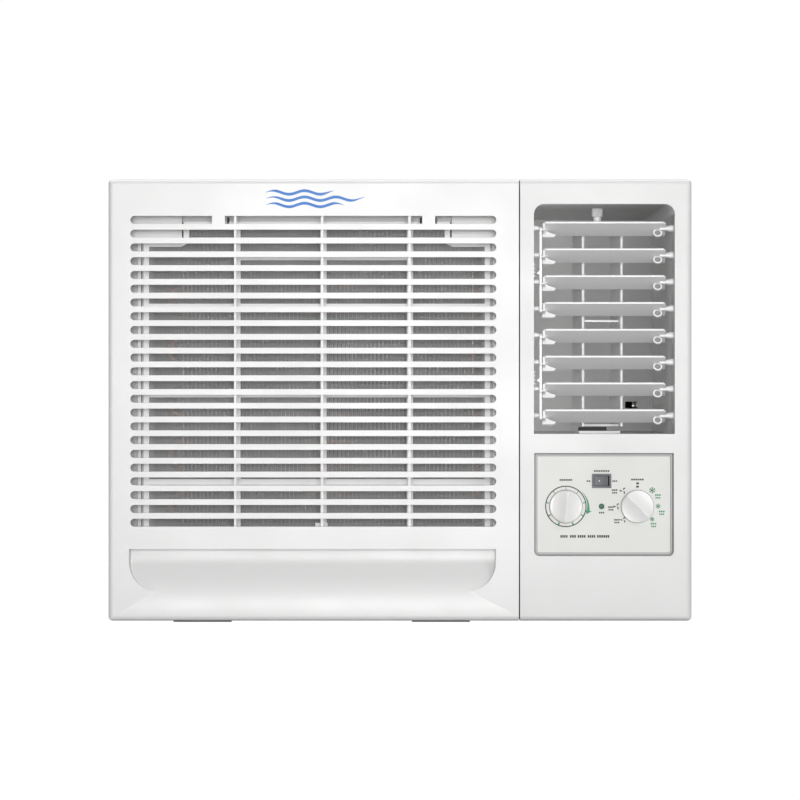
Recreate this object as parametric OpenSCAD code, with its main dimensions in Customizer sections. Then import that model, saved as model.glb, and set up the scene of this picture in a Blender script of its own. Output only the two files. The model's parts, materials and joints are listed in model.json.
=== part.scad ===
// Window air conditioner: sleeve, front panel, swinging louvres, controls, fans and cooling circuit.
// Millimetres. +Z is up, the front faces -Y, and the origin is the middle of the footprint.

/* [Overall] */
// Depth from the knobs to the drain spout
overall_depth = 660; // [560:1:820]
// Width of the front panel
panel_w = 560; // [470:1:680]
// Height of the front panel
panel_h = 424; // [372:1:520]

/* [Front panel] */
// Gap between the panel's lower edge and the ground
panel_gap = 1.2; // [0.8:0.1:4]
// Depth of the panel's skirt
skirt_depth = 55; // [50:1:70]
// Moulded wall thickness
panel_wall = 3; // [2:0.1:4]
// Radius of the panel's outer edges
edge_r = 5; // [4:0.5:8]
// Width of the fixed column that carries the outlet and the controls
column_w = 165.4; // [155:0.1:190]
// Gap along the seam between the intake grille and the column
seam_gap = 1.2; // [0.8:0.1:2]

/* [Intake grille] */
// Depth of the grille's own skirt
door_depth = 20; // [16:1:20]
// Height of one slot
slot_h = 7.7; // [5:0.1:9]
// Distance from one slot to the next
slot_pitch = 13.2; // [11:0.1:16]
// From the panel's top edge to the first slot
slot_top = 35.4; // [30:0.1:60]
// From the panel's lower edge to the lowest slot
slot_floor = 90; // [80:0.1:120]
// From the panel's side edge to the slots
slot_side = 21.4; // [16:0.1:40]
// From the slots to the seam
slot_seam = 22.3; // [16:0.1:40]
// Width of the upright ribs behind the bars
grille_rib_w = 2.4; // [1.5:0.1:4]
// Radius of the pins that the grille swings on
hinge_pin_r = 1.9; // [1.5:0.1:2.5]
// Height of the finger scoop
scoop_h = 40.7; // [30:0.1:50]
// From the panel's lower edge to the scoop
scoop_floor = 28.3; // [20:0.1:34]
// Depth of the scoop
scoop_depth = 14; // [8:0.5:14]

/* [Air outlet] */
// From the column's seam to the outlet
outlet_side = 13.8; // [12:0.1:16]
// Width of the outlet
outlet_w = 135.2; // [130:0.1:150]
// From the panel's top edge to the outlet
outlet_top = 23.9; // [20:0.1:40]
// Radius of the outlet's upper corners
outlet_r = 10; // [5:0.5:15]
// Width of a louvre blade from front to back
louver_chord = 22; // [16:0.5:22]
// Thickness of a louvre blade
louver_t = 1.8; // [1.5:0.1:2.2]
// How far the front edges are tilted up at rest
louver_tilt = 33; // [20:1:36]
// Radius of the louvre pivots
pivot_r = 1.4; // [1.2:0.1:1.6]
// Depth of the upright swinging vanes
vane_depth = 44; // [30:1:50]
// Distance between the two upright vanes
vane_pitch = 38.3; // [30:0.1:45]
// Angle of the vanes at rest
vane_rest = 8; // [0:1:15]

/* [Controls] */
// Width of the control recess
recess_w = 133.8; // [125:0.1:145]
// Height of the control recess
recess_h = 98.8; // [90:0.1:110]
// From the panel's lower edge to the control recess
recess_floor = 62.3; // [60:0.1:75]
// Diameter of the two knobs
knob_d = 32; // [24:0.5:36]
// Radius of the knob shafts
knob_shaft_r = 3; // [2.5:0.1:3.5]
// Width of the rocker switch
rocker_w = 18.5; // [15:0.1:24]
// Height of the rocker switch
rocker_h = 13.6; // [10:0.1:16]
// Diameter of the run lamp
lamp_d = 5.3; // [4:0.1:8]

/* [Sleeve] */
// Gap between the sleeve's side and the inside of the panel's skirt
side_gap = 3; // [2:0.1:5]
// Thickness of the sheet steel
sheet_t = 1.2; // [0.8:0.1:1.6]
// Height of the base rails
rail_h = 6; // [4:0.5:10]
// Clear height kept between the sleeve and the panel's top edge
sleeve_drop = 11.2; // [8:0.1:20]
// Radius of the fixing holes in the sleeve's sides
fixing_hole_r = 2.6; // [2:0.1:3.5]
// Distance between the fixing holes from front to back
fixing_pitch_y = 180; // [120:1:200]
// Distance between the fixing holes in height
fixing_pitch_z = 260; // [200:1:280]

/* [Fans] */
// Diameter of the blower wheel
blower_d = 200; // [160:1:210]
// Width of the blower wheel
blower_w = 80; // [60:1:84]
// Diameter of the propeller fan
fan_d = 300; // [240:1:310]
// Radius of the fan shaft
shaft_r = 6.35; // [5:0.05:8]
// Diameter of the fan motor
motor_d = 128; // [110:1:140]
// Length of the fan motor
motor_l = 96; // [80:1:110]

/* [Cooling circuit] */
// Thickness of the evaporator coil
evaporator_t = 40; // [30:1:44]
// Thickness of the condenser coil
condenser_t = 44; // [30:1:50]
// Diameter of the compressor
compressor_d = 118; // [100:1:124]
// Height of the compressor's shell without its domes
compressor_h = 190; // [160:1:220]
// Radius of the copper pipes
pipe_r = 4.76; // [3:0.01:6]

/* [Fits] */
// Radial clearance of a running fit
running = 0.06; // [0.02:0.01:0.1]
// Gap between pieces that lie close but do not touch
near = 0.4; // [0.3:0.1:0.6]

/* [Hidden] */
$fn = 64;
eps = 0.5;
plate_depth = 4;
knob_face = 13;
knob_proud = knob_face - plate_depth + near;
y_front = knob_proud - overall_depth / 2;
y_rear = overall_depth / 2;
z_foot = panel_gap;
z_top = panel_gap + panel_h;
seam_x = panel_w / 2 - column_w;
door_right = seam_x - seam_gap / 2;

// Intake grille
slot_x0 = -panel_w / 2 + slot_side;
slot_x1 = seam_x - slot_seam;
slot_z0 = z_foot + slot_floor;
slot_count = floor((panel_h - slot_top - slot_floor + slot_pitch - slot_h) / slot_pitch);
slot_first = z_top - slot_top - slot_h / 2;
slot_last = slot_first - (slot_count - 1) * slot_pitch;
grille_ribs = [0.286, 0.524, 0.763];
tab_spots = [0.241, 0.8155];
tab_w = 12.4;
hinge_y = y_front + 13.5;
hinge_z = z_top - 6.5;
knuckle_w = 14;
knuckle_r = 3.6;
lug_w = 4;
lug_r = 3.2;
frame_face = y_front + door_depth + 2;
scoop_x0 = slot_x0 - 1.3;
scoop_x1 = slot_x1 - 0.3;
scoop_z0 = z_foot + scoop_floor;
scoop_corner = 28;

// Fixed frame behind the grille
back_y = y_front + 34;
back_t = 3;
intake_x0 = slot_x0 + 18.6;
intake_x1 = slot_x1 - 12.3;
intake_z0 = slot_z0 - 12;
intake_z1 = slot_first + slot_h / 2 - 3.6;
filter_y = y_front + 27;
filter_t = 5;
filter_x0 = slot_x0 + 9.8;
filter_x1 = slot_x1 - 4.8;
filter_z0 = slot_z0 - 6;
filter_z1 = intake_z1;
filter_step = 19;
filter_shoulder = 38.8;
filter_pitch = 85;
filter_bar = 6;
filter_rib = 5.4;
filter_chamfer = 4;
filter_play = 2.2;
filter_guide = 3;
corner_gap = 1.4;
mesh_t = 0.5;

// Outlet and its duct
louver_count = 8;
out_x0 = seam_x + outlet_side;
out_x1 = out_x0 + outlet_w;
out_z1 = z_top - outlet_top;
rec_x0 = out_x0 + 0.4;
rec_x1 = rec_x0 + recess_w;
rec_z0 = z_foot + recess_floor;
rec_z1 = rec_z0 + recess_h;
out_z0 = rec_z1 + 18.3;
out_zh = out_z1 - out_z0;
louver_first = 16.5;
louver_end = 23.5;
louver_step = (out_zh - louver_first - louver_end) / (louver_count - 1);
louver_y = y_front + 16.2;
louver_x0 = out_x0 + 9;
louver_x1 = out_x1 - 7;
louver_drop = louver_chord / 2 * sin(louver_tilt);
group = louver_count / 2;
link_x = out_x0 + 6.8;
link_t = 2.1;
link_w = 3.2;
crank_u = 6.5;
crank_v = 6.5;
crank_r = 1.1;
duct_wall = 2;
duct_y0 = y_front + panel_wall;
duct_y1 = y_front + 212;
cheek_y1 = y_front + 30;
cheek_z1 = out_z1 - outlet_r;
vane_y = y_front + 60;
vane_x = (out_x0 + out_x1) / 2 - 2;
vane_t = 1.8;
vane_bottom = out_z0 + 7;
vane_top = out_z1 - 16;
vane_post_r = 4;
hub_drop = 8;
hub_r = 5.5;
plinth_h = 2.6;
plinth_w = 40;
pad_h = 3.8;
boss_r = 2.3;
swing_throw = 11;
swing_arm = 23.6;
swing_pin_r = 2;

// Controls
plate_t = 2.5;
plate_y = y_front + plate_depth;
plate_in = 0.5;
plate_rim = 2;
plate_groove = 0.5;
plate_r = 4.8;
thermostat_x = rec_x0 + 30.5;
selector_x = rec_x1 - 34.6;
knob_z = rec_z0 + 47.5;
lamp_x = (thermostat_x + selector_x) / 2;
rocker_z = rec_z0 + 72;
rocker_tilt = 10;
ctl_y = plate_y + plate_t + near;

// Sleeve and chassis
sleeve_w = panel_w - 2 * (panel_wall + side_gap);
sleeve_y0 = y_front + 50;
sleeve_y1 = y_rear - 8;
sleeve_z1 = z_top - sleeve_drop;
bay_x1 = sleeve_w / 2 - sheet_t;
bay_z0 = rail_h + sheet_t;
bay_z1 = sleeve_z1 - sheet_t;
pan_y0 = y_front + 60;
pan_y1 = sleeve_y1 - 14;
pan_x1 = bay_x1 - near;
pan_z0 = bay_z0;
pan_rim = 30;
pan_top = pan_z0 + sheet_t;
bulkhead_y = duct_y1 + 6;
foot_w = 55.6;
foot_spots = [62.3, 291.5];

// Fans
shaft_x = -bay_x1 + fan_d / 2 + 48;
shaft_z = (bay_z0 + bay_z1) / 2 - 4;
blower_y0 = y_front + 118;
scroll_y0 = y_front + 108;
scroll_y1 = y_front + 208;
scroll_r = blower_d / 2 + 24;
scroll_t = 2.5;
throat_z0 = shaft_z + 34;
throat_z1 = shaft_z + scroll_r;
motor_y0 = bulkhead_y + 30;
cond_y1 = y_rear - 30;
cond_y0 = cond_y1 - condenser_t;
shroud_y = cond_y0 - 62;
fan_y = shroud_y + 6;
fan_w = 46;
shaft_y0 = blower_y0 - 4;
shaft_y1 = fan_y + fan_w + 6;
motor_bore = shaft_r + running;

// Coils
evap_y0 = y_front + 60;
evap_x0 = intake_x0 + 27;
evap_x1 = out_x0 - 57;
evap_z0 = intake_z0 + 3;
evap_z1 = intake_z1 + 6;
cond_x0 = -bay_x1 + 22;
cond_x1 = bay_x1 - 48;
cond_z0 = pan_top + 4;
cond_z1 = bay_z1 - 14;
bend_r = 12.7;
coil_plate = 1.5;

// Compressor
comp_y = bulkhead_y + compressor_d / 2 + 16;
comp_z = pan_top + 26;
foot_circle = compressor_d / 2 + 14;
foot_r = 16;
comp_x = pan_x1 - sheet_t - near - foot_circle * cos(30) - foot_r;
accumulator_r = 24;
stub_x = 22;
stub_y = 24;
stub_h = 32;
accumulator_x = comp_x - compressor_d / 2 - accumulator_r - 8;

// ---- Shared shapes -----------------------------------------------------------------------

// Extrudes an outline drawn in X and Z from y0 to y1
module along_y(y0, y1) {
    translate([0, y1, 0]) rotate([90, 0, 0]) linear_extrude(y1 - y0) children();
}

// Extrudes an outline drawn in Y and Z from x0 to x1
module along_x(x0, x1) {
    translate([x0, 0, 0]) rotate([90, 0, 90]) linear_extrude(x1 - x0) children();
}

// A block from one corner to the opposite corner
module block(low, high) {
    translate(low) cube(high - low);
}

// A cylinder that lies along Y, X or Z
module rod_y(x, z, y0, y1, r) {
    translate([x, y1, z]) rotate([90, 0, 0]) cylinder(h = y1 - y0, r = r);
}
module rod_x(y, z, x0, x1, r) {
    translate([x0, y, z]) rotate([0, 90, 0]) cylinder(h = x1 - x0, r = r);
}
module rod_z(x, y, z0, z1, r) {
    translate([x, y, z0]) cylinder(h = z1 - z0, r = r);
}

// A rectangle with its four corners rounded to r
module round_rect(x0, z0, x1, z1, r) {
    translate([x0 + r, z0]) square([x1 - x0 - 2 * r, z1 - z0]);
    translate([x0, z0 + r]) square([x1 - x0, z1 - z0 - 2 * r]);
    for (x = [x0 + r, x1 - r], z = [z0 + r, z1 - r]) translate([x, z]) circle(r);
}

// A slot with half-round ends
module stadium(x0, x1, z, h) {
    translate([x0 + h / 2, z - h / 2]) square([x1 - x0 - h, h]);
    for (x = [x0 + h / 2, x1 - h / 2]) translate([x, z]) circle(h / 2);
}

// The panel's outer form, rounded along its front edges, shrunk by inset on every side
module panel_form(inset, y1) {
    r = edge_r - inset > 0.6 ? edge_r - inset : 0.6;
    w = panel_w / 2 - inset;
    z0 = z_foot + inset;
    z1 = z_top - inset;
    y0 = y_front + inset;
    intersection() {
        along_y(y0, y1) round_rect(-w, z0, w, z1, r);
        linear_extrude(z1 + eps) union() {
            translate([-w, y0 + r]) square([2 * w, y1 - y0 - r]);
            translate([-w + r, y0]) square([2 * w - 2 * r, y1 - y0]);
            for (x = [-w + r, w - r]) translate([x, y0 + r]) circle(r);
        }
        along_x(-w, w) union() {
            translate([y0 + r, z0]) square([y1 - y0 - r, z1 - z0]);
            translate([y0, z0 + r]) square([y1 - y0, z1 - z0 - 2 * r]);
            for (z = [z0 + r, z1 - r]) translate([y0 + r, z]) circle(r);
        }
    }
}

// A pipe through a list of points, with a swaged elbow at each turn
module pipe(points, r) {
    for (i = [0 : len(points) - 2]) {
        a = points[i];
        b = points[i + 1];
        d = b - a;
        turn = acos(d[2] / norm(d));
        translate(a) rotate([0, turn, atan2(d[1], d[0])]) cylinder(h = norm(d), r = r);
    }
    for (i = [1 : len(points) - 2]) translate(points[i]) sphere(r * 1.08);
}

// ---- Sleeve, rails and chassis -----------------------------------------------------------

// Rows of cooling slots in one side of the sleeve
module side_slots() {
    for (bank = [0, 1], i = [0 : 11]) {
        y = sleeve_y1 - 60 - bank * 104;
        z = bay_z1 - 60 - i * 21;
        translate([0, y - 88, z]) cube([sheet_t + 2 * eps, 88, 5]);
    }
}

module sleeve() color("#c9c7bf") {
    w = sleeve_w / 2;
    mid_y = (sleeve_y0 + sleeve_y1) / 2 - 60;
    mid_z = (rail_h + sleeve_z1) / 2;
    difference() {
        along_y(sleeve_y0, sleeve_y1) difference() {
            round_rect(-w, rail_h, w, sleeve_z1, 2 * sheet_t);
            translate([-bay_x1, bay_z0]) square([2 * bay_x1, bay_z1 - bay_z0]);
        }
        for (side = [-1, 1]) {
            translate([side < 0 ? -w - eps : w - sheet_t - eps, 0, 0]) side_slots();
            for (dy = [-0.5, 0.5], dz = [-0.5, 0.5]) {
                y = mid_y + dy * fixing_pitch_y;
                z = mid_z + dz * fixing_pitch_z;
                rod_x(y, z, side * w - 4, side * w + 4, fixing_hole_r);
            }
        }
    }
    // Pressed hoods over the cooling slots
    for (side = [-1, 1], bank = [0, 1], i = [0 : 11]) {
        y = sleeve_y1 - 60 - bank * 104;
        z = bay_z1 - 60 - i * 21;
        translate([side * (w - 0.4), y - 88, z + 4.2]) rotate([0, side * 35, 0])
            translate([side < 0 ? -5.4 : 0, 0, 0]) cube([5.4, 88, 1]);
    }
}

module base_rails() color("#3b3c3d") {
    for (x = [-sleeve_w / 2 + 30, sleeve_w / 2 - 58]) difference() {
        block([x, sleeve_y0 + 20, 0], [x + 28, sleeve_y1 - 20, rail_h]);
        block([x + 4, sleeve_y0 + 10, 1.5], [x + 24, sleeve_y1 - 10, rail_h - 1.5]);
    }
}

module front_feet() color("#2b2b2b") {
    for (x = foot_spots) {
        x0 = -panel_w / 2 + x;
        block([x0, y_front + 5, 0], [x0 + foot_w, y_front + 15, z_foot]);
    }
}

module base_pan() color("#b9bbb9") {
    difference() {
        block([-pan_x1, pan_y0, pan_z0], [pan_x1, pan_y1, pan_z0 + pan_rim]);
        block([-pan_x1 + sheet_t, pan_y0 + sheet_t, pan_top],
            [pan_x1 - sheet_t, pan_y1 - sheet_t, pan_z0 + pan_rim + eps]);
        rod_y(-pan_x1 + 40, pan_z0 + 12, pan_y1 - 4, pan_y1 + 4, 6);
    }
    // Stiffening ribs that also keep the blower's side off the water
    for (x = [-120, 120])
        block([x - 6, pan_y0 + 60, pan_top - 0.2], [x + 6, pan_y0 + 120, pan_top + 4]);
}

module drain_spout() color("#444648") {
    x = -pan_x1 + 40;
    z = pan_z0 + 12;
    difference() {
        union() {
            rod_y(x, z, pan_y1, pan_y1 + 3, 10);
            rod_y(x, z, pan_y1 - 3, y_rear, 6);
        }
        rod_y(x, z, pan_y1 - 4, y_rear + 1, 4.5);
    }
}

// Stamped guard across the open back of the sleeve
module rear_guard() color("#b3b5b3") {
    y0 = sleeve_y1 - 10;
    w = bay_x1 - near;
    z0 = bay_z0 + near;
    z1 = bay_z1 - near;
    cols = 4;
    rows = floor((z1 - z0 - 60) / 12);
    pitch = (2 * w - 44) / cols;
    difference() {
        union() {
            along_y(y0, y0 + 1.5) difference() {
                translate([-w, z0]) square([2 * w, z1 - z0]);
                for (c = [0 : cols - 1], r = [0 : rows - 1])
                    stadium(-w + 22 + c * pitch + 5, -w + 22 + (c + 1) * pitch - 5, z0 + 50 + r * 12, 7);
            }
            // Flange that slips inside the sleeve
            along_y(y0 + 1.5, sleeve_y1) difference() {
                translate([-w, z0]) square([2 * w, z1 - z0]);
                translate([-w + 1.2, z0 + 1.2]) square([2 * w - 2.4, z1 - z0 - 2.4]);
            }
        }
        rod_y(-pan_x1 + 40, pan_z0 + 12, y0 - 1, sleeve_y1 + 1, 11);
    }
}

// ---- Front panel -------------------------------------------------------------------------

// Everything the swinging grille's lugs and knuckles line up with
function tab_x(i) = slot_x0 + tab_spots[i] * (slot_x1 - slot_x0);

module outlet_outline(grow) {
    r = outlet_r + grow;
    difference() {
        translate([out_x0 - grow, out_z0 - grow]) square([outlet_w + 2 * grow, out_zh + 2 * grow]);
        for (side = [0, 1]) {
            x = side == 0 ? out_x0 - grow : out_x1 + grow - r;
            cx = side == 0 ? x + r : x;
            difference() {
                translate([x, out_z1 + grow - r]) square([r, r]);
                translate([cx, out_z1 + grow - r]) circle(r);
            }
        }
    }
}

// The control recess, with its two lower corners rounded, shrunk by inset on every side
module recess_outline(inset) {
    r = plate_r - inset;
    x0 = rec_x0 + inset;
    x1 = rec_x1 - inset;
    z0 = rec_z0 + inset;
    translate([x0, z0 + r]) square([x1 - x0, rec_z1 - inset - z0 - r]);
    translate([x0 + r, z0]) square([x1 - x0 - 2 * r, r + eps]);
    for (x = [x0 + r, x1 - r]) translate([x, z0 + r]) circle(r);
}

module front_frame() color("#f2f2f0") {
    intake = [[intake_x0, intake_z0], [intake_x1, intake_z1]];
    column_face = y_front + panel_wall;
    difference() {
        union() {
            // Skirt behind the grille and around the column, with the column's face
            difference() {
                panel_form(0, y_front + skirt_depth);
                difference() {
                    panel_form(panel_wall, y_front + skirt_depth + eps);
                    block([-panel_w, back_y, 0], [seam_x + eps, back_y + back_t, z_top]);
                }
                block([-panel_w, y_front - eps, 0], [seam_x + seam_gap / 2, frame_face, z_top + eps]);
            }
            // Wall of the column along the seam
            block([seam_x + seam_gap / 2, column_face - 0.2, z_foot + 2],
                [seam_x + seam_gap / 2 + panel_wall, back_y + back_t, z_top - 2]);
            // Tray that the control plate sits in
            along_y(column_face - 0.2, plate_y + plate_t + 3) difference() {
                recess_outline(-2);
                round_rect(rec_x0 + 7, rec_z0 + 7, rec_x1 - 7, rec_z1 - 7, 2);
            }
            // Guides for the air filter
            for (x = [filter_x0 - filter_play - filter_guide, filter_x1 + filter_play])
                block([x, filter_y - 2.2, filter_z0 - 3],
                    [x + filter_guide, back_y + eps, filter_z1 - filter_step]);
            block([filter_x0 - filter_play - filter_guide, filter_y - 2.2, filter_z0 - near - 3],
                [filter_x1 + filter_play + filter_guide, back_y + eps, filter_z0 - near]);
            // Corner blocks beside the filter's narrow top
            for (side = [0, 1]) {
                x = side == 0 ? slot_x0 - 2 : filter_x1 - filter_shoulder + corner_gap;
                x1 = side == 0 ? filter_x0 + filter_shoulder - corner_gap : slot_x1 + 3;
                along_y(filter_y - 2, back_y + eps)
                    round_rect(x, filter_z1 - filter_step + near, x1, filter_z1 + 10, 3);
            }
            // Lugs that hold the grille's hinge pins
            for (i = [0, 1], side = [-1, 1]) {
                x = tab_x(i) + side * (knuckle_w / 2 + near + lug_w / 2);
                rod_x(hinge_y, hinge_z, x - lug_w / 2, x + lug_w / 2, lug_r);
                block([x - lug_w / 2, hinge_y, hinge_z - lug_r],
                    [x + lug_w / 2, back_y + eps, hinge_z + lug_r]);
            }
        }
        // Outlet, control recess, intake, hinge pins and the cord's inlet
        along_y(y_front - eps, y_front + skirt_depth) outlet_outline(0);
        along_y(y_front - eps, plate_y + plate_t) recess_outline(0);
        along_y(back_y - eps, back_y + back_t + eps) translate(intake[0]) square(intake[1] - intake[0]);
        for (i = [0, 1]) rod_x(hinge_y, hinge_z, tab_x(i) - 14, tab_x(i) + 14, hinge_pin_r);
        // Gaps beside the grille's two tabs
        for (i = [0, 1], side = [-1, 1]) {
            x = tab_x(i) + side * (tab_w / 2 + 0.8);
            block([x - 1, back_y - eps, slot_first - 1.6],
                [x + 1, back_y + back_t + eps, slot_first + slot_h / 2 + 1]);
        }
        rod_x(y_front + 34, z_foot + 40, panel_w / 2 - 8, panel_w / 2 + 2, 8);
        for (side = [-1, 1], z = [0.2, 0.8])
            rod_x(sleeve_y0 + 2.5, z_foot + z * panel_h, side * panel_w / 2 - 6, side * panel_w / 2 + 6, 2);
    }
}

// The scoop's outline, with large lower corners
module scoop_outline(grow) {
    x0 = scoop_x0 - grow;
    x1 = scoop_x1 + grow;
    z0 = scoop_z0 - grow;
    z1 = scoop_z0 + scoop_h + grow;
    r = scoop_corner;
    translate([x0, z0 + r]) square([x1 - x0, z1 - z0 - r]);
    translate([x0 + r, z0]) square([x1 - x0 - 2 * r, z1 - z0]);
    for (x = [x0 + r, x1 - r]) translate([x, z0 + r]) circle(r);
}

// The scoop's section: a ramp from its lower edge that is deepest under its upper edge
module scoop_section(grow) {
    z0 = scoop_z0 - grow;
    h = scoop_h + 2 * grow;
    y = y_front + grow;
    polygon([[y_front - 1, z0], [y, z0], [y + 0.86 * scoop_depth, z0 + 0.6 * h],
        [y + 0.96 * scoop_depth, z0 + 0.73 * h], [y + scoop_depth, z0 + 0.85 * h],
        [y + scoop_depth, z0 + h], [y_front - 1, z0 + h]]);
}

module intake_grille() color("#f3f3f2") {
    difference() {
        union() {
            difference() {
                panel_form(0, y_front + door_depth);
                block([door_right, y_front - eps, 0], [panel_w, 0, z_top + eps]);
                intersection() {
                    panel_form(panel_wall, y_front + door_depth + eps);
                    block([-panel_w, y_front, 0], [door_right - 2.5, 0, z_top]);
                }
                // Relief that lets the upper edge turn clear of the frame
                block([-panel_w, y_front + 16, z_top - 4.5], [panel_w, 0, z_top + eps]);
            }
            // Upright ribs behind the bars
            for (s = grille_ribs) {
                x = slot_x0 + s * (slot_x1 - slot_x0);
                block([x - grille_rib_w / 2, y_front + 1.6, slot_last - slot_h],
                    [x + grille_rib_w / 2, y_front + 7, slot_first + slot_h]);
            }
            // Back of the finger scoop
            intersection() {
                along_y(y_front + 1, y_front + door_depth) scoop_outline(2.2);
                along_x(scoop_x0 - 4, scoop_x1 + 4) scoop_section(2.2);
            }
            // Knuckles around the hinge pins
            for (i = [0, 1]) {
                x0 = tab_x(i) - knuckle_w / 2;
                rod_x(hinge_y, hinge_z, x0, x0 + knuckle_w, knuckle_r);
                block([x0, y_front + 2, hinge_z - 2.5], [x0 + knuckle_w, hinge_y, hinge_z + 4]);
            }
        }
        along_y(y_front - eps, y_front + panel_wall + eps) difference() {
            for (i = [0 : slot_count - 1]) stadium(slot_x0, slot_x1, slot_first - i * slot_pitch, slot_h);
            for (i = [0, 1])
                translate([tab_x(i) - tab_w / 2, slot_first - slot_h]) square([tab_w, 2 * slot_h]);
        }
        for (s = grille_ribs, i = [0 : slot_count - 1]) {
            x = slot_x0 + s * (slot_x1 - slot_x0);
            translate([x - grille_rib_w, y_front - eps, slot_first - i * slot_pitch - slot_h / 2])
                cube([2 * grille_rib_w, panel_wall + eps, slot_h]);
        }
        intersection() {
            along_y(y_front - eps, y_front + door_depth) scoop_outline(0);
            along_x(scoop_x0 - 4, scoop_x1 + 4) scoop_section(0);
        }
        for (i = [0, 1]) {
            rod_x(hinge_y, hinge_z, tab_x(i) - 14, tab_x(i) + 14, hinge_pin_r + running);
            // Notches for the frame's lugs
            for (side = [-1, 1]) {
                x = tab_x(i) + side * (knuckle_w / 2 + near + lug_w / 2);
                block([x - lug_w / 2 - near, hinge_y - lug_r - 1, hinge_z - 12],
                    [x + lug_w / 2 + near, 0, z_top + eps]);
            }
        }
    }
}

module hinge_pins() color("#8c8f90") {
    half = knuckle_w / 2 + near + lug_w;
    for (i = [0, 1]) rod_x(hinge_y, hinge_z, tab_x(i) - half, tab_x(i) + half, hinge_pin_r);
}

// Outline of the filter, with a narrower top
module filter_outline(inset) {
    x0 = filter_x0 + inset;
    x1 = filter_x1 - inset;
    translate([x0, filter_z0 + inset]) square([x1 - x0, filter_z1 - filter_step - filter_z0 - 2 * inset]);
    translate([x0 + filter_shoulder, filter_z0 + inset])
        square([x1 - x0 - 2 * filter_shoulder, filter_z1 - filter_z0 - 2 * inset]);
}

// Upright bars of the filter, behind the grille's ribs
function filter_bar_x(i) = slot_x0 + grille_ribs[i] * (slot_x1 - slot_x0) + 0.5;

module filter_frame() color("#dfe0df") {
    difference() {
        along_y(filter_y, filter_y + filter_t) {
            difference() {
                filter_outline(0);
                filter_outline(filter_rib);
            }
            for (i = [0 : 2]) translate([filter_bar_x(i) - filter_bar / 2, filter_z0])
                square([filter_bar, filter_z1 - filter_z0]);
            for (z = [filter_z1 - 82.5 : -filter_pitch : filter_z0 + filter_pitch / 2])
                translate([filter_x0, z - filter_bar / 2]) square([filter_x1 - filter_x0, filter_bar]);
            // Upper grip bar, between the first and the last upright bar
            translate([filter_bar_x(0), filter_z1 - 37.4]) square([filter_bar_x(2) - filter_bar_x(0), 4.2]);
        }
        // Chamfers inside the two shoulders
        for (side = [-1, 1]) {
            inset = filter_shoulder + filter_rib;
            x = side < 0 ? filter_x0 + inset : filter_x1 - inset;
            z = filter_z1 - filter_step - filter_rib;
            along_y(filter_y - eps, filter_y + filter_t + eps)
                polygon([[x, z], [x + side * 2 * filter_chamfer, z], [x, z + filter_chamfer]]);
        }
        // Step along the upper bar, and notches beside the grille's two tabs
        block([filter_x0, filter_y - eps, filter_z1 - 2.6], [filter_x1, filter_y + 1.2, filter_z1 + eps]);
        for (i = [0, 1], side = [-1, 1]) {
            x = tab_x(i) + side * (tab_w / 2 + 0.8);
            block([x - 1.2, filter_y - eps, filter_z1 - 5.2],
                [x + 1.2, filter_y + filter_t + eps, filter_z1 + eps]);
        }
    }
    // Pull tab
    x = slot_x0 + 0.52 * (slot_x1 - slot_x0);
    block([x - 6, filter_y - 3, filter_z0 + 4], [x + 6, filter_y + 0.2, filter_z0 + 9]);
}

module filter_mesh() color("#6f7172") {
    y = filter_y + filter_t;
    along_y(y, y + mesh_t) filter_outline(0.3);
}

// ---- Outlet ------------------------------------------------------------------------------

// Thin wall around the outlet
module duct_ring() {
    difference() {
        outlet_outline(duct_wall);
        outlet_outline(0);
    }
}

// Floor and side cheeks that the louvres turn in
module louver_frame() color("#e9eaea") {
    x0 = out_x0 - duct_wall;
    x1 = out_x1 + duct_wall;
    difference() {
        along_y(duct_y0, cheek_y1) intersection() {
            duct_ring();
            translate([x0, out_z0 - duct_wall]) square([x1 - x0, cheek_z1 - out_z0 + duct_wall]);
        }
        // Bearing holes for the louvre pivots
        for (i = [0 : louver_count - 1])
            rod_x(louver_y, louver_pivot_z(i), x0 - eps, x1 + eps, pivot_r + running);
        // Relief slots behind the right-hand pivots
        for (i = [0 : louver_count - 1]) {
            z = louver_pivot_z(i);
            block([out_x1 - eps, louver_y - 1, z - 9], [out_x1 + 0.8, louver_y + 2, z + 4]);
        }
    }
    // Ratchet teeth that hold each group of louvres
    for (g = [0, 1], i = [0 : 3]) {
        z = louver_pivot_z(g * group + 1) - 11 - i * 3.65;
        translate([out_x0 - 0.2, louver_y - 9, z]) rotate([90, 0, 0])
            linear_extrude(3) polygon([[0, 0], [2.4, 1.2], [0, 3]]);
    }
}

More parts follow.
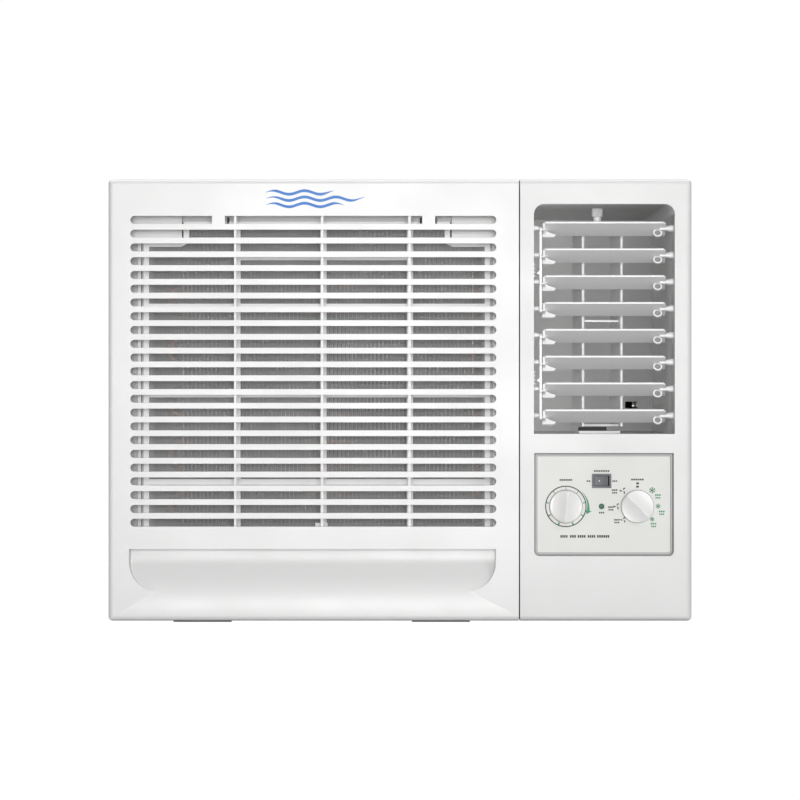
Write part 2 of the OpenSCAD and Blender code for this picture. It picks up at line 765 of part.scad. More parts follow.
module discharge_duct() color("#a3a5a3") {
    x0 = out_x0 - duct_wall;
    x1 = out_x1 + duct_wall;
    z0 = out_z0 - duct_wall;
    z1 = out_z1 + duct_wall;
    difference() {
        union() {
            along_y(cheek_y1 + near, duct_y1) duct_ring();
            // Roof that reaches forward over the louvre frame
            along_y(duct_y0, cheek_y1 + near + 0.1) intersection() {
                duct_ring();
                translate([x0, cheek_z1 + near]) square([x1 - x0, z1 - cheek_z1]);
            }
            along_y(duct_y1 - duct_wall, duct_y1) outlet_outline(duct_wall);
            // Plinth under the vanes
            block([vane_x - plinth_w / 2, cheek_y1 + near, out_z0 - 0.2],
                [vane_x + plinth_w / 2, vane_y + 22, out_z0 + plinth_h]);
            // Ledge under the motor that swings the vanes
            block([vane_x - 32, vane_y + 30, z0 - 12], [vane_x + 32, vane_y + 32, z0 + 0.2]);
            // Hub for the vanes' upper post
            rod_z(vane_x, vane_y, out_z1 - hub_drop, out_z1 + 0.5, hub_r);
        }
        // Port for the air sensor
        block([out_x1 - 28, duct_y1 - duct_wall - eps, out_z0 + 24],
            [out_x1 - 15.4, duct_y1 + eps, out_z0 + 31]);
        // Throat from the blower's scroll
        block([x0 - eps, scroll_y0 + scroll_t, throat_z0 + scroll_t],
            [out_x0 + eps, scroll_y1 - scroll_t, throat_z1 - scroll_t]);
        rod_z(vane_x, vane_y, out_z1 - hub_drop - eps, out_z1 + duct_wall + eps, vane_post_r - 1 + running);
        rod_z(vane_x, vane_y, z0 - eps, out_z0 + plinth_h + eps, vane_post_r - 1 + running);
    }
}

// Rubber pad on the plinth, in front of the vanes' lower post
module vane_pad() color("#1d1d1d") {
    x0 = vane_x - plinth_w / 2;
    z0 = out_z0 + plinth_h;
    along_y(cheek_y1 + 4, cheek_y1 + 12) round_rect(x0, z0, x0 + 27, z0 + pad_h, 1);
}

// Height of the pivot of louvre i, counted from the top
function louver_pivot_z(i) = out_z1 - louver_first - i * louver_step - louver_drop;

// One blade at its pivot, tilted with its front edge up
module louver(i) {
    half = louver_chord / 2;
    translate([0, louver_y, louver_pivot_z(i)]) rotate([-louver_tilt, 0, 0]) {
        difference() {
            along_x(louver_x0, louver_x1) union() {
                translate([-half + louver_t, -louver_t / 2]) square([louver_chord - louver_t, louver_t]);
                translate([-half + louver_t, 0]) circle(louver_t * 0.65);
            }
            // Rounded front corners
            for (side = [0, 1]) {
                x = side == 0 ? louver_x0 : louver_x1;
                inner = side == 0 ? x + 7 : x - 7;
                translate([0, 0, -3]) linear_extrude(6) difference() {
                    translate([min(x, inner) - 0.01, -half - 1]) square([7.02, 8]);
                    translate([inner, -half + 7]) circle(7);
                }
            }
        }
        // Pivots that run in the duct's side walls
        rod_x(0, 0, out_x0 - duct_wall, louver_x0 + 5, pivot_r);
        rod_x(0, 0, louver_x1 - 5, out_x1 + duct_wall, pivot_r);
        // Crank arm with its pin
        difference() {
            translate([louver_x0, -crank_u - 2.2, -crank_v - 2]) cube([2.2, crank_u + 4, crank_v + 2]);
            translate([louver_x0 - 1, -crank_u + 3, -crank_v - 2.2]) cube([5, crank_u, crank_v - 1]);
        }
        rod_x(-crank_u, -crank_v, link_x - link_t / 2, louver_x0 + 1, crank_r);
        // Bosses around the pivots
        rod_x(0, 0, out_x0 + near, link_x - link_t / 2 - near, boss_r);
        rod_x(0, 0, louver_x1 - 6, out_x1 - 3.6, boss_r);
        // Pointed finger tab and wire loop below the blade
        translate([louver_x0, 4, 0]) rotate([90, 0, 0]) linear_extrude(1.8)
            polygon([[0, -0.5], [0, -8.6], [10.8, -8.6], [12.8, -6.4], [12.8, -5.6], [7, -3.4], [3, -0.5]]);
        translate([louver_x1 - 8, 2.4, -4.4]) rotate([90, 0, 0]) difference() {
            cylinder(h = 1.6, r = 4.4);
            translate([0, 0, -1]) cylinder(h = 4, r = 3);
        }
    }
}

module louver_1() color("#eceef0") louver(0);
module louver_2() color("#eceef0") louver(1);
module louver_3() color("#eceef0") louver(2);
module louver_4() color("#eceef0") louver(3);
module louver_5() color("#eceef0") louver(4);
module louver_6() color("#eceef0") louver(5);
module louver_7() color("#eceef0") louver(6);
module louver_8() color("#eceef0") louver(7);

// Crank pin of a louvre, from its pivot, in the tilted position
crank_dy = -crank_u * cos(louver_tilt) - crank_v * sin(louver_tilt);
crank_dz = crank_u * sin(louver_tilt) - crank_v * cos(louver_tilt);

// Upright rod that makes one group of louvres tilt together
module link(first) {
    y = louver_y + crank_dy;
    z1 = louver_pivot_z(first) + crank_dz;
    z0 = louver_pivot_z(first + group - 1) + crank_dz;
    difference() {
        union() {
            block([link_x - link_t / 2, y - link_w / 2, z0], [link_x + link_t / 2, y + link_w / 2, z1]);
            for (i = [0 : group - 1])
                rod_x(y, z1 - i * louver_step, link_x - link_t / 2, link_x + link_t / 2, 2.5);
            // Pawl that points at the ratchet teeth
            translate([0, y + link_w / 2, louver_pivot_z(first + 1) - 18]) rotate([90, 0, 0])
                linear_extrude(link_w)
                polygon([[link_x, 3.4], [out_x0 + 2.4 + near, 0], [link_x, -2]]);
        }
        for (i = [0 : group - 1])
            rod_x(y, z1 - i * louver_step, link_x - 3, link_x + 3, crank_r + running);
    }
}

module upper_link() color("#eceef0") link(0);
module lower_link() color("#eceef0") link(group);

// Top of the arm that runs under the duct's floor
arm_z1 = out_z0 - duct_wall - near;

// Two upright vanes joined by cross ribs, on one pivot, with the arm that the crank drives
module swing_vanes() color("#eceeee") {
    translate([vane_x, vane_y, 0]) rotate([0, 0, vane_rest]) {
        difference() {
            union() {
                for (side = [-1, 1]) {
                    x = side * vane_pitch / 2;
                    block([x - vane_t / 2, -vane_depth / 2, vane_bottom],
                        [x + vane_t / 2, vane_depth / 2, vane_top]);
                    rod_z(x, -vane_depth / 2, vane_bottom, vane_top, 1.4);
                }
                for (z = [vane_bottom, (vane_bottom + vane_top) / 2 + 3, vane_top - 3])
                    block([-vane_pitch / 2, -12, z], [vane_pitch / 2, 8, z + 2]);
                // Posts at the top and the bottom
                rod_z(0, 0, vane_top - 2, out_z1 - hub_drop - near, vane_post_r);
                rod_z(0, 0, vane_top - 2, out_z1 + duct_wall, vane_post_r - 1);
                rod_z(0, 0, arm_z1 - 3, vane_bottom + 2, vane_post_r - 1);
                // Arm below the duct's floor, reaching forward to the crank
                block([-5, -swing_arm - swing_throw - 6, arm_z1 - 3], [5, 0, arm_z1]);
            }
            // Slot that the crank's pin slides in
            block([-swing_pin_r - 1.2, -swing_arm - swing_throw - 3, arm_z1 - 4],
                [swing_pin_r + 1.2, -swing_arm + swing_throw - 8, arm_z1 + near]);
        }
    }
}

crank_z1 = arm_z1 - 3 - near;
crank_rest = vane_rest * 3.6;

module swing_crank() color("#d8d8d4") {
    translate([vane_x, vane_y - swing_arm, 0]) rotate([0, 0, crank_rest]) {
        difference() {
            rod_z(0, 0, crank_z1 - 3, crank_z1, swing_throw + swing_pin_r + 2);
            rod_z(0, 0, crank_z1 - 4, crank_z1 + 1, 2.5 + running);
        }
        rod_z(0, -swing_throw, crank_z1 - 0.2, arm_z1, swing_pin_r);
    }
}

module swing_motor() color("#9a9c98") {
    y = vane_y - swing_arm;
    z1 = crank_z1 - 3 - near;
    rod_z(vane_x, y, z1 - 8, z1, 18);
    rod_z(vane_x, y, z1, crank_z1, 2.5);
    block([vane_x - 24, y - 4, z1 - 8], [vane_x + 24, y + 4, z1 - 6.5]);
}

// ---- Controls ----------------------------------------------------------------------------

module control_plate() color("#e6e7e2") {
    difference() {
        along_y(plate_y, plate_y + plate_t) recess_outline(plate_in);
        // Groove that frames the printed face
        along_y(plate_y - eps, plate_y + 1.2) difference() {
            recess_outline(plate_rim);
            recess_outline(plate_rim + plate_groove);
        }
        along_y(plate_y - eps, plate_y + plate_t + eps) plate_holes();
    }
}

// Openings for the knob shafts, the lamp and the switch
module plate_holes() {
    for (x = [thermostat_x, selector_x]) translate([x, knob_z]) circle(knob_shaft_r + 2);
    translate([lamp_x, knob_z]) circle(lamp_d / 2 + 0.1);
    translate([lamp_x - rocker_w / 2 + 1, rocker_z - rocker_h / 2 + 1])
        square([rocker_w - 2, rocker_h - 2]);
}

// Steel tray behind the control plate that carries the thermostat and the switches
module control_box() color("#b4b6b4") {
    y0 = plate_y + plate_t + 24;
    y1 = y0 + 70;
    difference() {
        block([rec_x0 + 6, y0, rec_z0 - 4], [rec_x1 - 2, y1, rec_z1 - 4]);
        block([rec_x0 + 7.2, y0 + 1.2, rec_z0 - 2.8], [rec_x1 - 3.2, y1 + eps, rec_z1 - 5.2]);
        for (x = [thermostat_x, selector_x]) rod_y(x, knob_z, y0 - 1, y0 + 2, 6);
    }
}

// A control body behind the plate, with the bush that its shaft turns in
module control_body(x, w, h, d) {
    y0 = plate_y + plate_t + 24;
    difference() {
        union() {
            block([x - w / 2, y0 + 1.2, knob_z - h / 2], [x + w / 2, y0 + 1.2 + d, knob_z + h / 2]);
            rod_y(x, knob_z, y0 - 6, y0 + 1.4, 5.8);
        }
        rod_y(x, knob_z, y0 - 7, y0 + 16, knob_shaft_r + running);
    }
}

module thermostat() color("#a9a48f") control_body(thermostat_x, 44, 52, 30);
module selector_switch() color("#45403a") control_body(selector_x, 40, 40, 34);

// A knob on its shaft, with a grip ridge turned to the given clock angle
module knob(x, angle) {
    r = knob_d / 2;
    y1 = plate_y - near;
    translate([x, 0, knob_z]) rotate([0, angle, 0]) {
        rod_y(0, 0, y1 - 3, y1, r);
        translate([0, y1 - 3, 0]) rotate([90, 0, 0]) cylinder(h = 3, r1 = r, r2 = r - 3);
        intersection() {
            along_x(-5, 5) polygon([[y1 - knob_face, r - 5], [y1 - 3, r - 0.5],
                [y1 - 3, 0.5 - r], [y1 - knob_face, 5 - r]]);
            linear_extrude(knob_d, center = true)
                polygon([[-5, y1 - 2], [-1.4, y1 - knob_face], [1.4, y1 - knob_face], [5, y1 - 2]]);
        }
        difference() {
            rod_y(0, 0, y1 - 1, plate_y + plate_t + 38, knob_shaft_r);
            block([-knob_shaft_r, y1, 1.8], [knob_shaft_r, plate_y + plate_t + 14, knob_shaft_r + 1]);
        }
    }
}

module thermostat_knob() color("#ecebe8") knob(thermostat_x, 6);
module selector_knob() color("#ecebe8") knob(selector_x, 135);

rocker_y = plate_y + 2;

module rocker_bezel() color("#55585c") {
    w = rocker_w / 2;
    h = rocker_h / 2;
    difference() {
        union() {
            block([lamp_x - w, plate_y - 1.2, rocker_z - h], [lamp_x + w, plate_y - 0.01, rocker_z + h]);
            block([lamp_x - w + 1.1, plate_y - 1, rocker_z - h + 1.1],
                [lamp_x + w - 1.1, ctl_y + 13, rocker_z + h - 1.1]);
        }
        block([lamp_x - w + 2, plate_y - 3, rocker_z - h + 2],
            [lamp_x + w - 2, ctl_y + 11.5, rocker_z + h - 2]);
        rod_z(lamp_x, rocker_y, rocker_z - h - 1, rocker_z + h + 1, 1.2 + running);
    }
}

module swing_rocker() color("#4c4f53") {
    w = rocker_w / 2 - 2.6;
    h = rocker_h / 2 - 2.3;
    translate([lamp_x, rocker_y, rocker_z]) rotate([0, 0, -rocker_tilt]) {
        linear_extrude(2 * h, center = true)
            polygon([[-w, -2.4], [0, -1.5], [w, -2.4], [w * 0.7, 2.6], [-w * 0.7, 2.6]]);
        rod_z(0, 0, -h - 1.1, h + 1.1, 1.2);
    }
}

module run_lamp() color("#2f6b4c") {
    rod_y(lamp_x, knob_z, plate_y - 0.6, plate_y + plate_t + 8, lamp_d / 2);
}

module run_capacitor() color("#b7babd") {
    x = rec_x1 - 22;
    y0 = plate_y + plate_t + 75;
    rod_z(x, y0, rec_z0 - 2.8, rec_z0 + 62, 14);
    for (s = [-1, 1]) block([x + s * 5 - 3, y0 - 0.4, rec_z0 + 61.8], [x + s * 5 + 3, y0 + 0.4, rec_z0 + 70]);
}

module cord_bushing() color("#303234") {
    x = panel_w / 2;
    y = y_front + 34;
    z = z_foot + 40;
    difference() {
        union() {
            rod_x(y, z, x - 8, x, 8 - 0.02);
            rod_x(y, z, x - 8, x - panel_wall - 0.1, 10);
        }
        rod_x(y, z, x - 9, x + 2, 4.2);
    }
}

// ---- Coils -------------------------------------------------------------------------------

// Hairpin bends beside one end of a coil
module bends(x, side, y0, rows, row_pitch, z0, z1) {
    count = floor((z1 - z0 - 20) / (4 * bend_r));
    for (row = [0 : rows - 1], i = [0 : count - 1]) {
        y = y0 + row_pitch * (row + 0.5);
        z = z0 + 14 + (i * 4 + 1) * bend_r;
        translate([x, y, z]) rotate([90, 0, side < 0 ? 180 : 0]) rotate([0, 0, -90])
            rotate_extrude(angle = 180) translate([bend_r, 0]) circle(pipe_r);
    }
}

module coil_ends(x0, x1, y0, t, z0, z1) {
    for (x = [x0 - coil_plate, x1]) block([x, y0, z0], [x + coil_plate, y0 + t, z1]);
    bends(x0 - coil_plate, -1, y0, 2, t / 2, z0, z1);
    bends(x1 + coil_plate, 1, y0, 2, t / 2, z0, z1);
}

module evaporator_fins() color("#b9bcbe") {
    block([evap_x0, evap_y0, evap_z0], [evap_x1, evap_y0 + evaporator_t, evap_z1]);
}
module evaporator_bends() color("#b06a44") {
    coil_ends(evap_x0, evap_x1, evap_y0, evaporator_t, evap_z0, evap_z1);
}
module condenser_fins() color("#b9bcbe") {
    block([cond_x0, cond_y0, cond_z0], [cond_x1, cond_y1, cond_z1]);
}
module condenser_bends() color("#b06a44") {
    coil_ends(cond_x0, cond_x1, cond_y0, condenser_t, cond_z0, cond_z1);
}

// ---- Fans --------------------------------------------------------------------------------

module scroll_outline(inset) {
    translate([shaft_x, shaft_z]) circle(scroll_r - inset, $fn = 96);
    translate([shaft_x, throat_z0 + inset])
        square([out_x0 - duct_wall - near - shaft_x, throat_z1 - throat_z0 - 2 * inset]);
}

module blower_scroll() color("#d9d9d3") {
    difference() {
        along_y(scroll_y0, scroll_y1) scroll_outline(0);
        along_y(scroll_y0 + scroll_t, scroll_y1 - scroll_t) scroll_outline(scroll_t);
        block([out_x0 - duct_wall - near - 4, scroll_y0 + scroll_t, throat_z0 + scroll_t],
            [out_x0, scroll_y1 - scroll_t, throat_z1 - scroll_t]);
        rod_y(shaft_x, shaft_z, scroll_y0 - 1, scroll_y0 + 20, blower_d / 2 - 18);
        rod_y(shaft_x, shaft_z, scroll_y1 - 20, scroll_y1 + 1, shaft_r + 8);
    }
}

module blower_wheel() color("#5d6063") {
    y1 = blower_y0 + blower_w;
    blades = 36;
    r = blower_d / 2;
    difference() {
        union() {
            rod_y(shaft_x, shaft_z, y1 - 2, y1, r);
            rod_y(shaft_x, shaft_z, y1 - 34, y1, 17);
        }
        rod_y(shaft_x, shaft_z, y1 - 36, y1 + 1, shaft_r);
    }
    along_y(blower_y0, blower_y0 + 3) translate([shaft_x, shaft_z]) difference() {
        circle(r);
        circle(r - 16);
    }
    along_y(blower_y0 + 2, y1 - 1) translate([shaft_x, shaft_z])
        for (i = [0 : blades - 1]) rotate(i * 360 / blades)
            translate([r - 15, 0]) rotate(-32) square([14, 1.4]);
}

module fan_shaft() color("#aeb1b4") {
    rod_y(shaft_x, shaft_z, shaft_y0, shaft_y1, shaft_r);
}

module fan_motor() color("#7f8488") {
    y1 = motor_y0 + motor_l;
    difference() {
        union() {
            rod_y(shaft_x, shaft_z, motor_y0 + 10, y1 - 10, motor_d / 2);
            rod_y(shaft_x, shaft_z, motor_y0, y1, motor_d / 2 - 12);
            rod_y(shaft_x, shaft_z, motor_y0 - 10, y1 + 10, 15);
        }
        rod_y(shaft_x, shaft_z, motor_y0 - 12, y1 + 12, motor_bore);
    }
}

module motor_bracket() color("#a9acaa") {
    y0 = motor_y0 + 20;
    y1 = motor_y0 + motor_l - 20;
    r = motor_d / 2;
    difference() {
        block([shaft_x - r * 0.7, y0, pan_top], [shaft_x + r * 0.7, y1, shaft_z - r * 0.45]);
        block([shaft_x - r * 0.7 + 2, y0 - 1, pan_top + 2], [shaft_x + r * 0.7 - 2, y1 + 1, shaft_z]);
        rod_y(shaft_x, shaft_z, y0 - 1, y1 + 1, r + 0.05);
    }
    block([shaft_x - r * 0.7 - 14, y0, pan_top], [shaft_x + r * 0.7 + 14, y1, pan_top + 2]);
}

module bulkhead() color("#b7b9b7") {
    difference() {
        block([-pan_x1 + sheet_t + near, bulkhead_y, pan_top],
            [pan_x1 - sheet_t - near, bulkhead_y + sheet_t, bay_z1 - 2]);
        rod_y(shaft_x, shaft_z, bulkhead_y - 1, bulkhead_y + 4, 20);
        block([bay_x1 - 60, bulkhead_y - 1, pan_top + 20], [bay_x1 - 40, bulkhead_y + 4, pan_top + 60]);
        // Port behind the duct's sensor port
        block([out_x1 - 31, bulkhead_y - 1, out_z0 + 18], [out_x1 - 11, bulkhead_y + 4, out_z0 + 37]);
    }
}

module propeller_fan() color("#4e5356") {
    r = fan_d / 2;
    hub_r = 34;
    difference() {
        union() {
            rod_y(shaft_x, shaft_z, fan_y, fan_y + fan_w - 6, hub_r);
            // Pitched blades, trimmed to the fan's circle
            intersection() {
                for (i = [0 : 4]) translate([shaft_x, fan_y + fan_w / 2 - 3, shaft_z])
                    rotate([0, i * 72, 0]) translate([0, 0, hub_r - 6])
                    rotate([0, 0, 26]) translate([-52, -1.2, 0]) cube([104, 2.4, r - hub_r + 6]);
                rod_y(shaft_x, shaft_z, fan_y, fan_y + fan_w, r - 4);
            }
            // Ring that throws the collected water on to the condenser
            along_y(fan_y + fan_w / 2 - 9, fan_y + fan_w / 2 + 3) translate([shaft_x, shaft_z]) difference() {
                circle(r);
                circle(r - 5);
            }
        }
        rod_y(shaft_x, shaft_z, fan_y - 1, fan_y + fan_w + 1, shaft_r);
    }
}

module fan_shroud() color("#b2b4b2") {
    z0 = pan_top + 2;
    difference() {
        block([cond_x0, shroud_y, z0], [cond_x1, cond_y0 - near, cond_z1]);
        block([cond_x0 + sheet_t, shroud_y + sheet_t, z0 + sheet_t],
            [cond_x1 - sheet_t, cond_y0 + 1, cond_z1 - sheet_t]);
        rod_y(shaft_x, shaft_z, shroud_y - 1, shroud_y + 4, fan_d / 2 + 8);
    }
}

// ---- Compressor and pipes ----------------------------------------------------------------

module compressor() color("#26282a") {
    r = compressor_d / 2;
    z1 = comp_z + compressor_h;
    rod_z(comp_x, comp_y, comp_z, z1, r);
    intersection() {
        translate([comp_x, comp_y, z1 + 26 - 80]) sphere(80);
        rod_z(comp_x, comp_y, z1 - 1, z1 + 30, r - 0.5);
    }
    intersection() {
        translate([comp_x, comp_y, comp_z - 14 + 80]) sphere(80);
        rod_z(comp_x, comp_y, comp_z - 14, comp_z + 1, r - 0.5);
    }
    // Stub that the discharge pipe is brazed to
    rod_z(comp_x + stub_x, comp_y + stub_y, z1 - 4, z1 + stub_h, 7);
    // Mounting feet
    difference() {
        for (i = [0 : 2]) translate([comp_x, comp_y, comp_z - 8]) rotate(i * 120 + 90)
            union() {
                translate([0, -foot_r, 0]) cube([foot_circle, 2 * foot_r, 3]);
                translate([foot_circle, 0, 0]) cylinder(h = 3, r = foot_r);
            }
        for (i = [0 : 2]) translate([comp_x, comp_y, comp_z - 10]) rotate(i * 120 + 90)
            translate([foot_circle, 0, 0]) cylinder(h = 8, r = 7);
    }
    // Terminal cover
    block([comp_x - 16, comp_y - r + 20, z1 + 10], [comp_x + 14, comp_y - 8, z1 + 34]);
}

module compressor_grommets() color("#1b1c1d") {
    for (i = [0 : 2]) translate([comp_x, comp_y, 0]) rotate(i * 120 + 90)
        translate([foot_circle, 0, 0]) difference() {
        union() {
            translate([0, 0, pan_top]) cylinder(h = comp_z - 8 - pan_top, r = 12);
            translate([0, 0, pan_top]) cylinder(h = comp_z - pan_top - 5, r = 6.98);
            translate([0, 0, comp_z - 5]) cylinder(h = 3, r = 10);
        }
        translate([0, 0, pan_top - 1]) cylinder(h = 60, r = 3);
    }
}

module accumulator() color("#303335") {
    z0 = comp_z + 20;
    z1 = comp_z + compressor_h - 20;
    rod_z(accumulator_x, comp_y, z0, z1, accumulator_r);
    rod_z(accumulator_x, comp_y, z0 - 8, z1 + 8, accumulator_r - 8);
    // Strap to the compressor
    block([accumulator_x + accumulator_r - 1, comp_y - 6, (z0 + z1) / 2],
        [comp_x - compressor_d / 2, comp_y + 6, (z0 + z1) / 2 + 14]);
}

module discharge_pipe() color("#b06a44") {
    x = comp_x + stub_x;
    y = comp_y + stub_y;
    start = comp_z + compressor_h + stub_h;
    top = min(start + 40, bay_z1 - 16);
    end_y = cond_y0 + condenser_t / 4;
    end_x = cond_x1 + coil_plate + bend_r + 12;
    pipe([[x, y, start], [x, y, top], [end_x, y, top], [end_x, end_y, top], [end_x, end_y, top - 60]],
        pipe_r);
}

module suction_pipe() color("#b06a44") {
    z1 = comp_z + compressor_h - 12;
    top = z1 + 40;
    pipe([[accumulator_x, comp_y, z1], [accumulator_x, comp_y, top], [accumulator_x, bulkhead_y + 14, top]],
        pipe_r);
}

module filter_drier() color("#b06a44") {
    x = cond_x1 + coil_plate + bend_r + pipe_r + 11;
    y = cond_y0 + condenser_t * 3 / 4;
    rod_z(x, y, cond_z0 + 60, cond_z0 + 130, 9);
    rod_z(x, y, cond_z0 + 48, cond_z0 + 142, 4);
}

// ---- Fasteners ---------------------------------------------------------------------------

// Screws that hold the panel's skirt to the sleeve
module frame_screws() color("#a4a7a9") {
    for (side = [-1, 1], z = [0.2, 0.8]) {
        zz = z_foot + z * panel_h;
        x = side * panel_w / 2;
        x0 = side > 0 ? sleeve_w / 2 + 0.05 : x;
        x1 = side > 0 ? x : -sleeve_w / 2 - 0.05;
        rod_x(sleeve_y0 + 2.5, zz, x0, x1, 1.9);
    }
}

// Screw heads along the rear of the sleeve's top
module sleeve_screws() color("#a4a7a9") {
    for (x = [-0.5, 0, 0.5]) {
        translate([x * (bay_x1 * 1.6), sleeve_y1 - 40, sleeve_z1]) cylinder(h = 2, r1 = 4.2, r2 = 3);
    }
}

sleeve();
base_rails();
front_feet();
base_pan();
rear_guard();
drain_spout();
front_frame();
intake_grille();
hinge_pins();
filter_frame();
filter_mesh();
louver_frame();
discharge_duct();
vane_pad();
louver_1();
louver_2();
louver_3();
louver_4();
louver_5();
louver_6();
louver_7();
louver_8();
upper_link();
lower_link();
swing_vanes();
swing_motor();
swing_crank();
control_plate();
control_box();
thermostat();
thermostat_knob();
selector_switch();
selector_knob();
rocker_bezel();
swing_rocker();
run_lamp();
run_capacitor();
cord_bushing();
evaporator_fins();
evaporator_bends();
blower_scroll();
blower_wheel();
fan_shaft();
fan_motor();
motor_bracket();
bulkhead();
propeller_fan();
fan_shroud();
condenser_fins();
condenser_bends();
compressor();
compressor_grommets();
accumulator();
discharge_pipe();
suction_pipe();
filter_drier();
sleeve_screws();
frame_screws();
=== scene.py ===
import json
import math

import bmesh
import bpy
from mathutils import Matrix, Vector


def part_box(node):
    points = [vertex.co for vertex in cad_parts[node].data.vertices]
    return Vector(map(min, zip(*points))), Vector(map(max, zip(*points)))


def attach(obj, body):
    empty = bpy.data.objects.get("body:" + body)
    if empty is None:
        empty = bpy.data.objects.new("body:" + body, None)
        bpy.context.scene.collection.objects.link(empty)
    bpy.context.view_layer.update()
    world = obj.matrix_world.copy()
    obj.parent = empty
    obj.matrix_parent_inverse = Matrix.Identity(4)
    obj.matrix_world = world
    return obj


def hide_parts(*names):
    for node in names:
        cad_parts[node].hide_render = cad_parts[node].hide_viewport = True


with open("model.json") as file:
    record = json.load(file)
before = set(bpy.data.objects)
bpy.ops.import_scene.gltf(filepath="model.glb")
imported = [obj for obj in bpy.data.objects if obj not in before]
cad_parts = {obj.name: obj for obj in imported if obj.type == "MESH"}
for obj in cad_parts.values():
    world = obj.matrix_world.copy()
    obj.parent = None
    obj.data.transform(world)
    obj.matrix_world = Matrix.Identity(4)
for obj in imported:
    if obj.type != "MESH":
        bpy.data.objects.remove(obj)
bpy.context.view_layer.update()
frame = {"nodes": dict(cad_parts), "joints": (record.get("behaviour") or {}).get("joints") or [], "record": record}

# ---- Places taken from the frame -----------------------------------------------------------

MM = 0.001
panel_low, panel_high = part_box("front_frame")
grille_low, grille_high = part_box("intake_grille")
plate_low, plate_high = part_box("control_plate")
duct_left, duct_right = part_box("louver_frame")[0][0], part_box("louver_frame")[1][0]
front_y = panel_low[1]
middle_z = (panel_low[2] + panel_high[2]) / 2
joints = {joint["name"]: joint for joint in frame["joints"]}


# ---- Camera, light and floor ---------------------------------------------------------------

CAMERA_DISTANCE = 2.3
VIEW_WIDTH = 0.7671
SENSOR_WIDTH = 36
FAR_CLIP = 50
SKY_STRENGTH = 0.22
BACKDROP_WHITE = 1.02
KEY_PLACE, KEY_SIZE, KEY_POWER = (1.9, -2.7, 1.9), (0.9, 0.9), 20
FRONT_PLACE, FRONT_SIZE, FRONT_POWER = (0.05, -3.4, 0.42), (1.2, 0.9), 62
OVERHEAD_POWER = 2.15
OVERHEAD_SPREAD = math.radians(50)
OVERHEAD_LEAN = math.radians(-12)
FLOOR_HALF_WIDTH = 60.0


def set_camera():
    """A long lens straight in front of the panel's middle."""
    data = bpy.data.cameras.new("front_view")
    data.sensor_width = SENSOR_WIDTH
    data.lens = SENSOR_WIDTH * CAMERA_DISTANCE / VIEW_WIDTH
    data.clip_end = FAR_CLIP
    camera = bpy.data.objects.new("front_view", data)
    camera.location = (0, front_y - CAMERA_DISTANCE, middle_z)
    camera.rotation_euler = (math.pi / 2, 0, 0)
    bpy.context.collection.objects.link(camera)
    bpy.context.scene.camera = camera


def add_lamp(name, place, target, size, power):
    """A rectangular lamp at place that points at target."""
    data = bpy.data.lights.new(name, "AREA")
    data.shape = "RECTANGLE"
    data.size, data.size_y = size
    data.energy = power
    lamp = bpy.data.objects.new(name, data)
    lamp.location = place
    lamp.rotation_euler = (Vector(target) - Vector(place)).to_track_quat("-Z", "Y").to_euler()
    bpy.context.collection.objects.link(lamp)


def set_lights():
    """Two softboxes, a wide overhead light and a white sky that is brighter to the camera."""
    target = (0, front_y, middle_z)
    add_lamp("key_softbox", KEY_PLACE, target, KEY_SIZE, KEY_POWER)
    add_lamp("front_softbox", FRONT_PLACE, target, FRONT_SIZE, FRONT_POWER)
    overhead = bpy.data.lights.new("overhead", "SUN")
    overhead.energy = OVERHEAD_POWER
    overhead.angle = OVERHEAD_SPREAD
    lamp = bpy.data.objects.new("overhead", overhead)
    lamp.rotation_euler = (OVERHEAD_LEAN, 0, 0)
    bpy.context.collection.objects.link(lamp)
    world = bpy.data.worlds.new("studio")
    world.use_nodes = True
    tree = world.node_tree
    background = tree.nodes["Background"]
    background.inputs["Color"].default_value = (1.0, 1.0, 1.0, 1)
    seen = tree.nodes.new("ShaderNodeLightPath").outputs["Is Camera Ray"]
    lifted = math_node(tree, "MULTIPLY", seen, BACKDROP_WHITE - SKY_STRENGTH)
    tree.links.new(math_node(tree, "ADD", lifted, SKY_STRENGTH), background.inputs["Strength"])
    bpy.context.scene.world = world
    view = bpy.context.scene.view_settings
    view.view_transform = "Standard"
    view.look = "None"


# ---- Shader groups shared by the materials --------------------------------------------------

STREAK_START = 0.4
STREAK_GAIN = 2.2
DUST_COLOR = (0.42, 0.40, 0.36, 1)


def node_group(name, inputs, outputs):
    """A shader group with named number inputs, given as (name, value), and named outputs."""
    group = bpy.data.node_groups.new(name, "ShaderNodeTree")
    for label, value in inputs:
        socket = group.interface.new_socket(label, in_out="INPUT", socket_type="NodeSocketFloat")
        socket.default_value = value
    for label in outputs:
        group.interface.new_socket(label, in_out="OUTPUT", socket_type="NodeSocketFloat")
    return group, group.nodes.new("NodeGroupInput"), group.nodes.new("NodeGroupOutput")


def math_node(tree, operation, first, second):
    """The socket of a sum, product or other operation on numbers or sockets."""
    node = tree.nodes.new("ShaderNodeMath")
    node.operation = operation
    for index, value in enumerate((first, second)):
        if hasattr(value, "links"):
            tree.links.new(value, node.inputs[index])
        else:
            node.inputs[index].default_value = value
    return node.outputs[0]


def share_between(tree, value, low, high):
    """How far value has come from low to high, kept between 0 and 1."""
    above = math_node(tree, "SUBTRACT", value, low)
    share = math_node(tree, "DIVIDE", above, math_node(tree, "SUBTRACT", high, low))
    return math_node(tree, "MINIMUM", math_node(tree, "MAXIMUM", share, 0.0), 1.0)


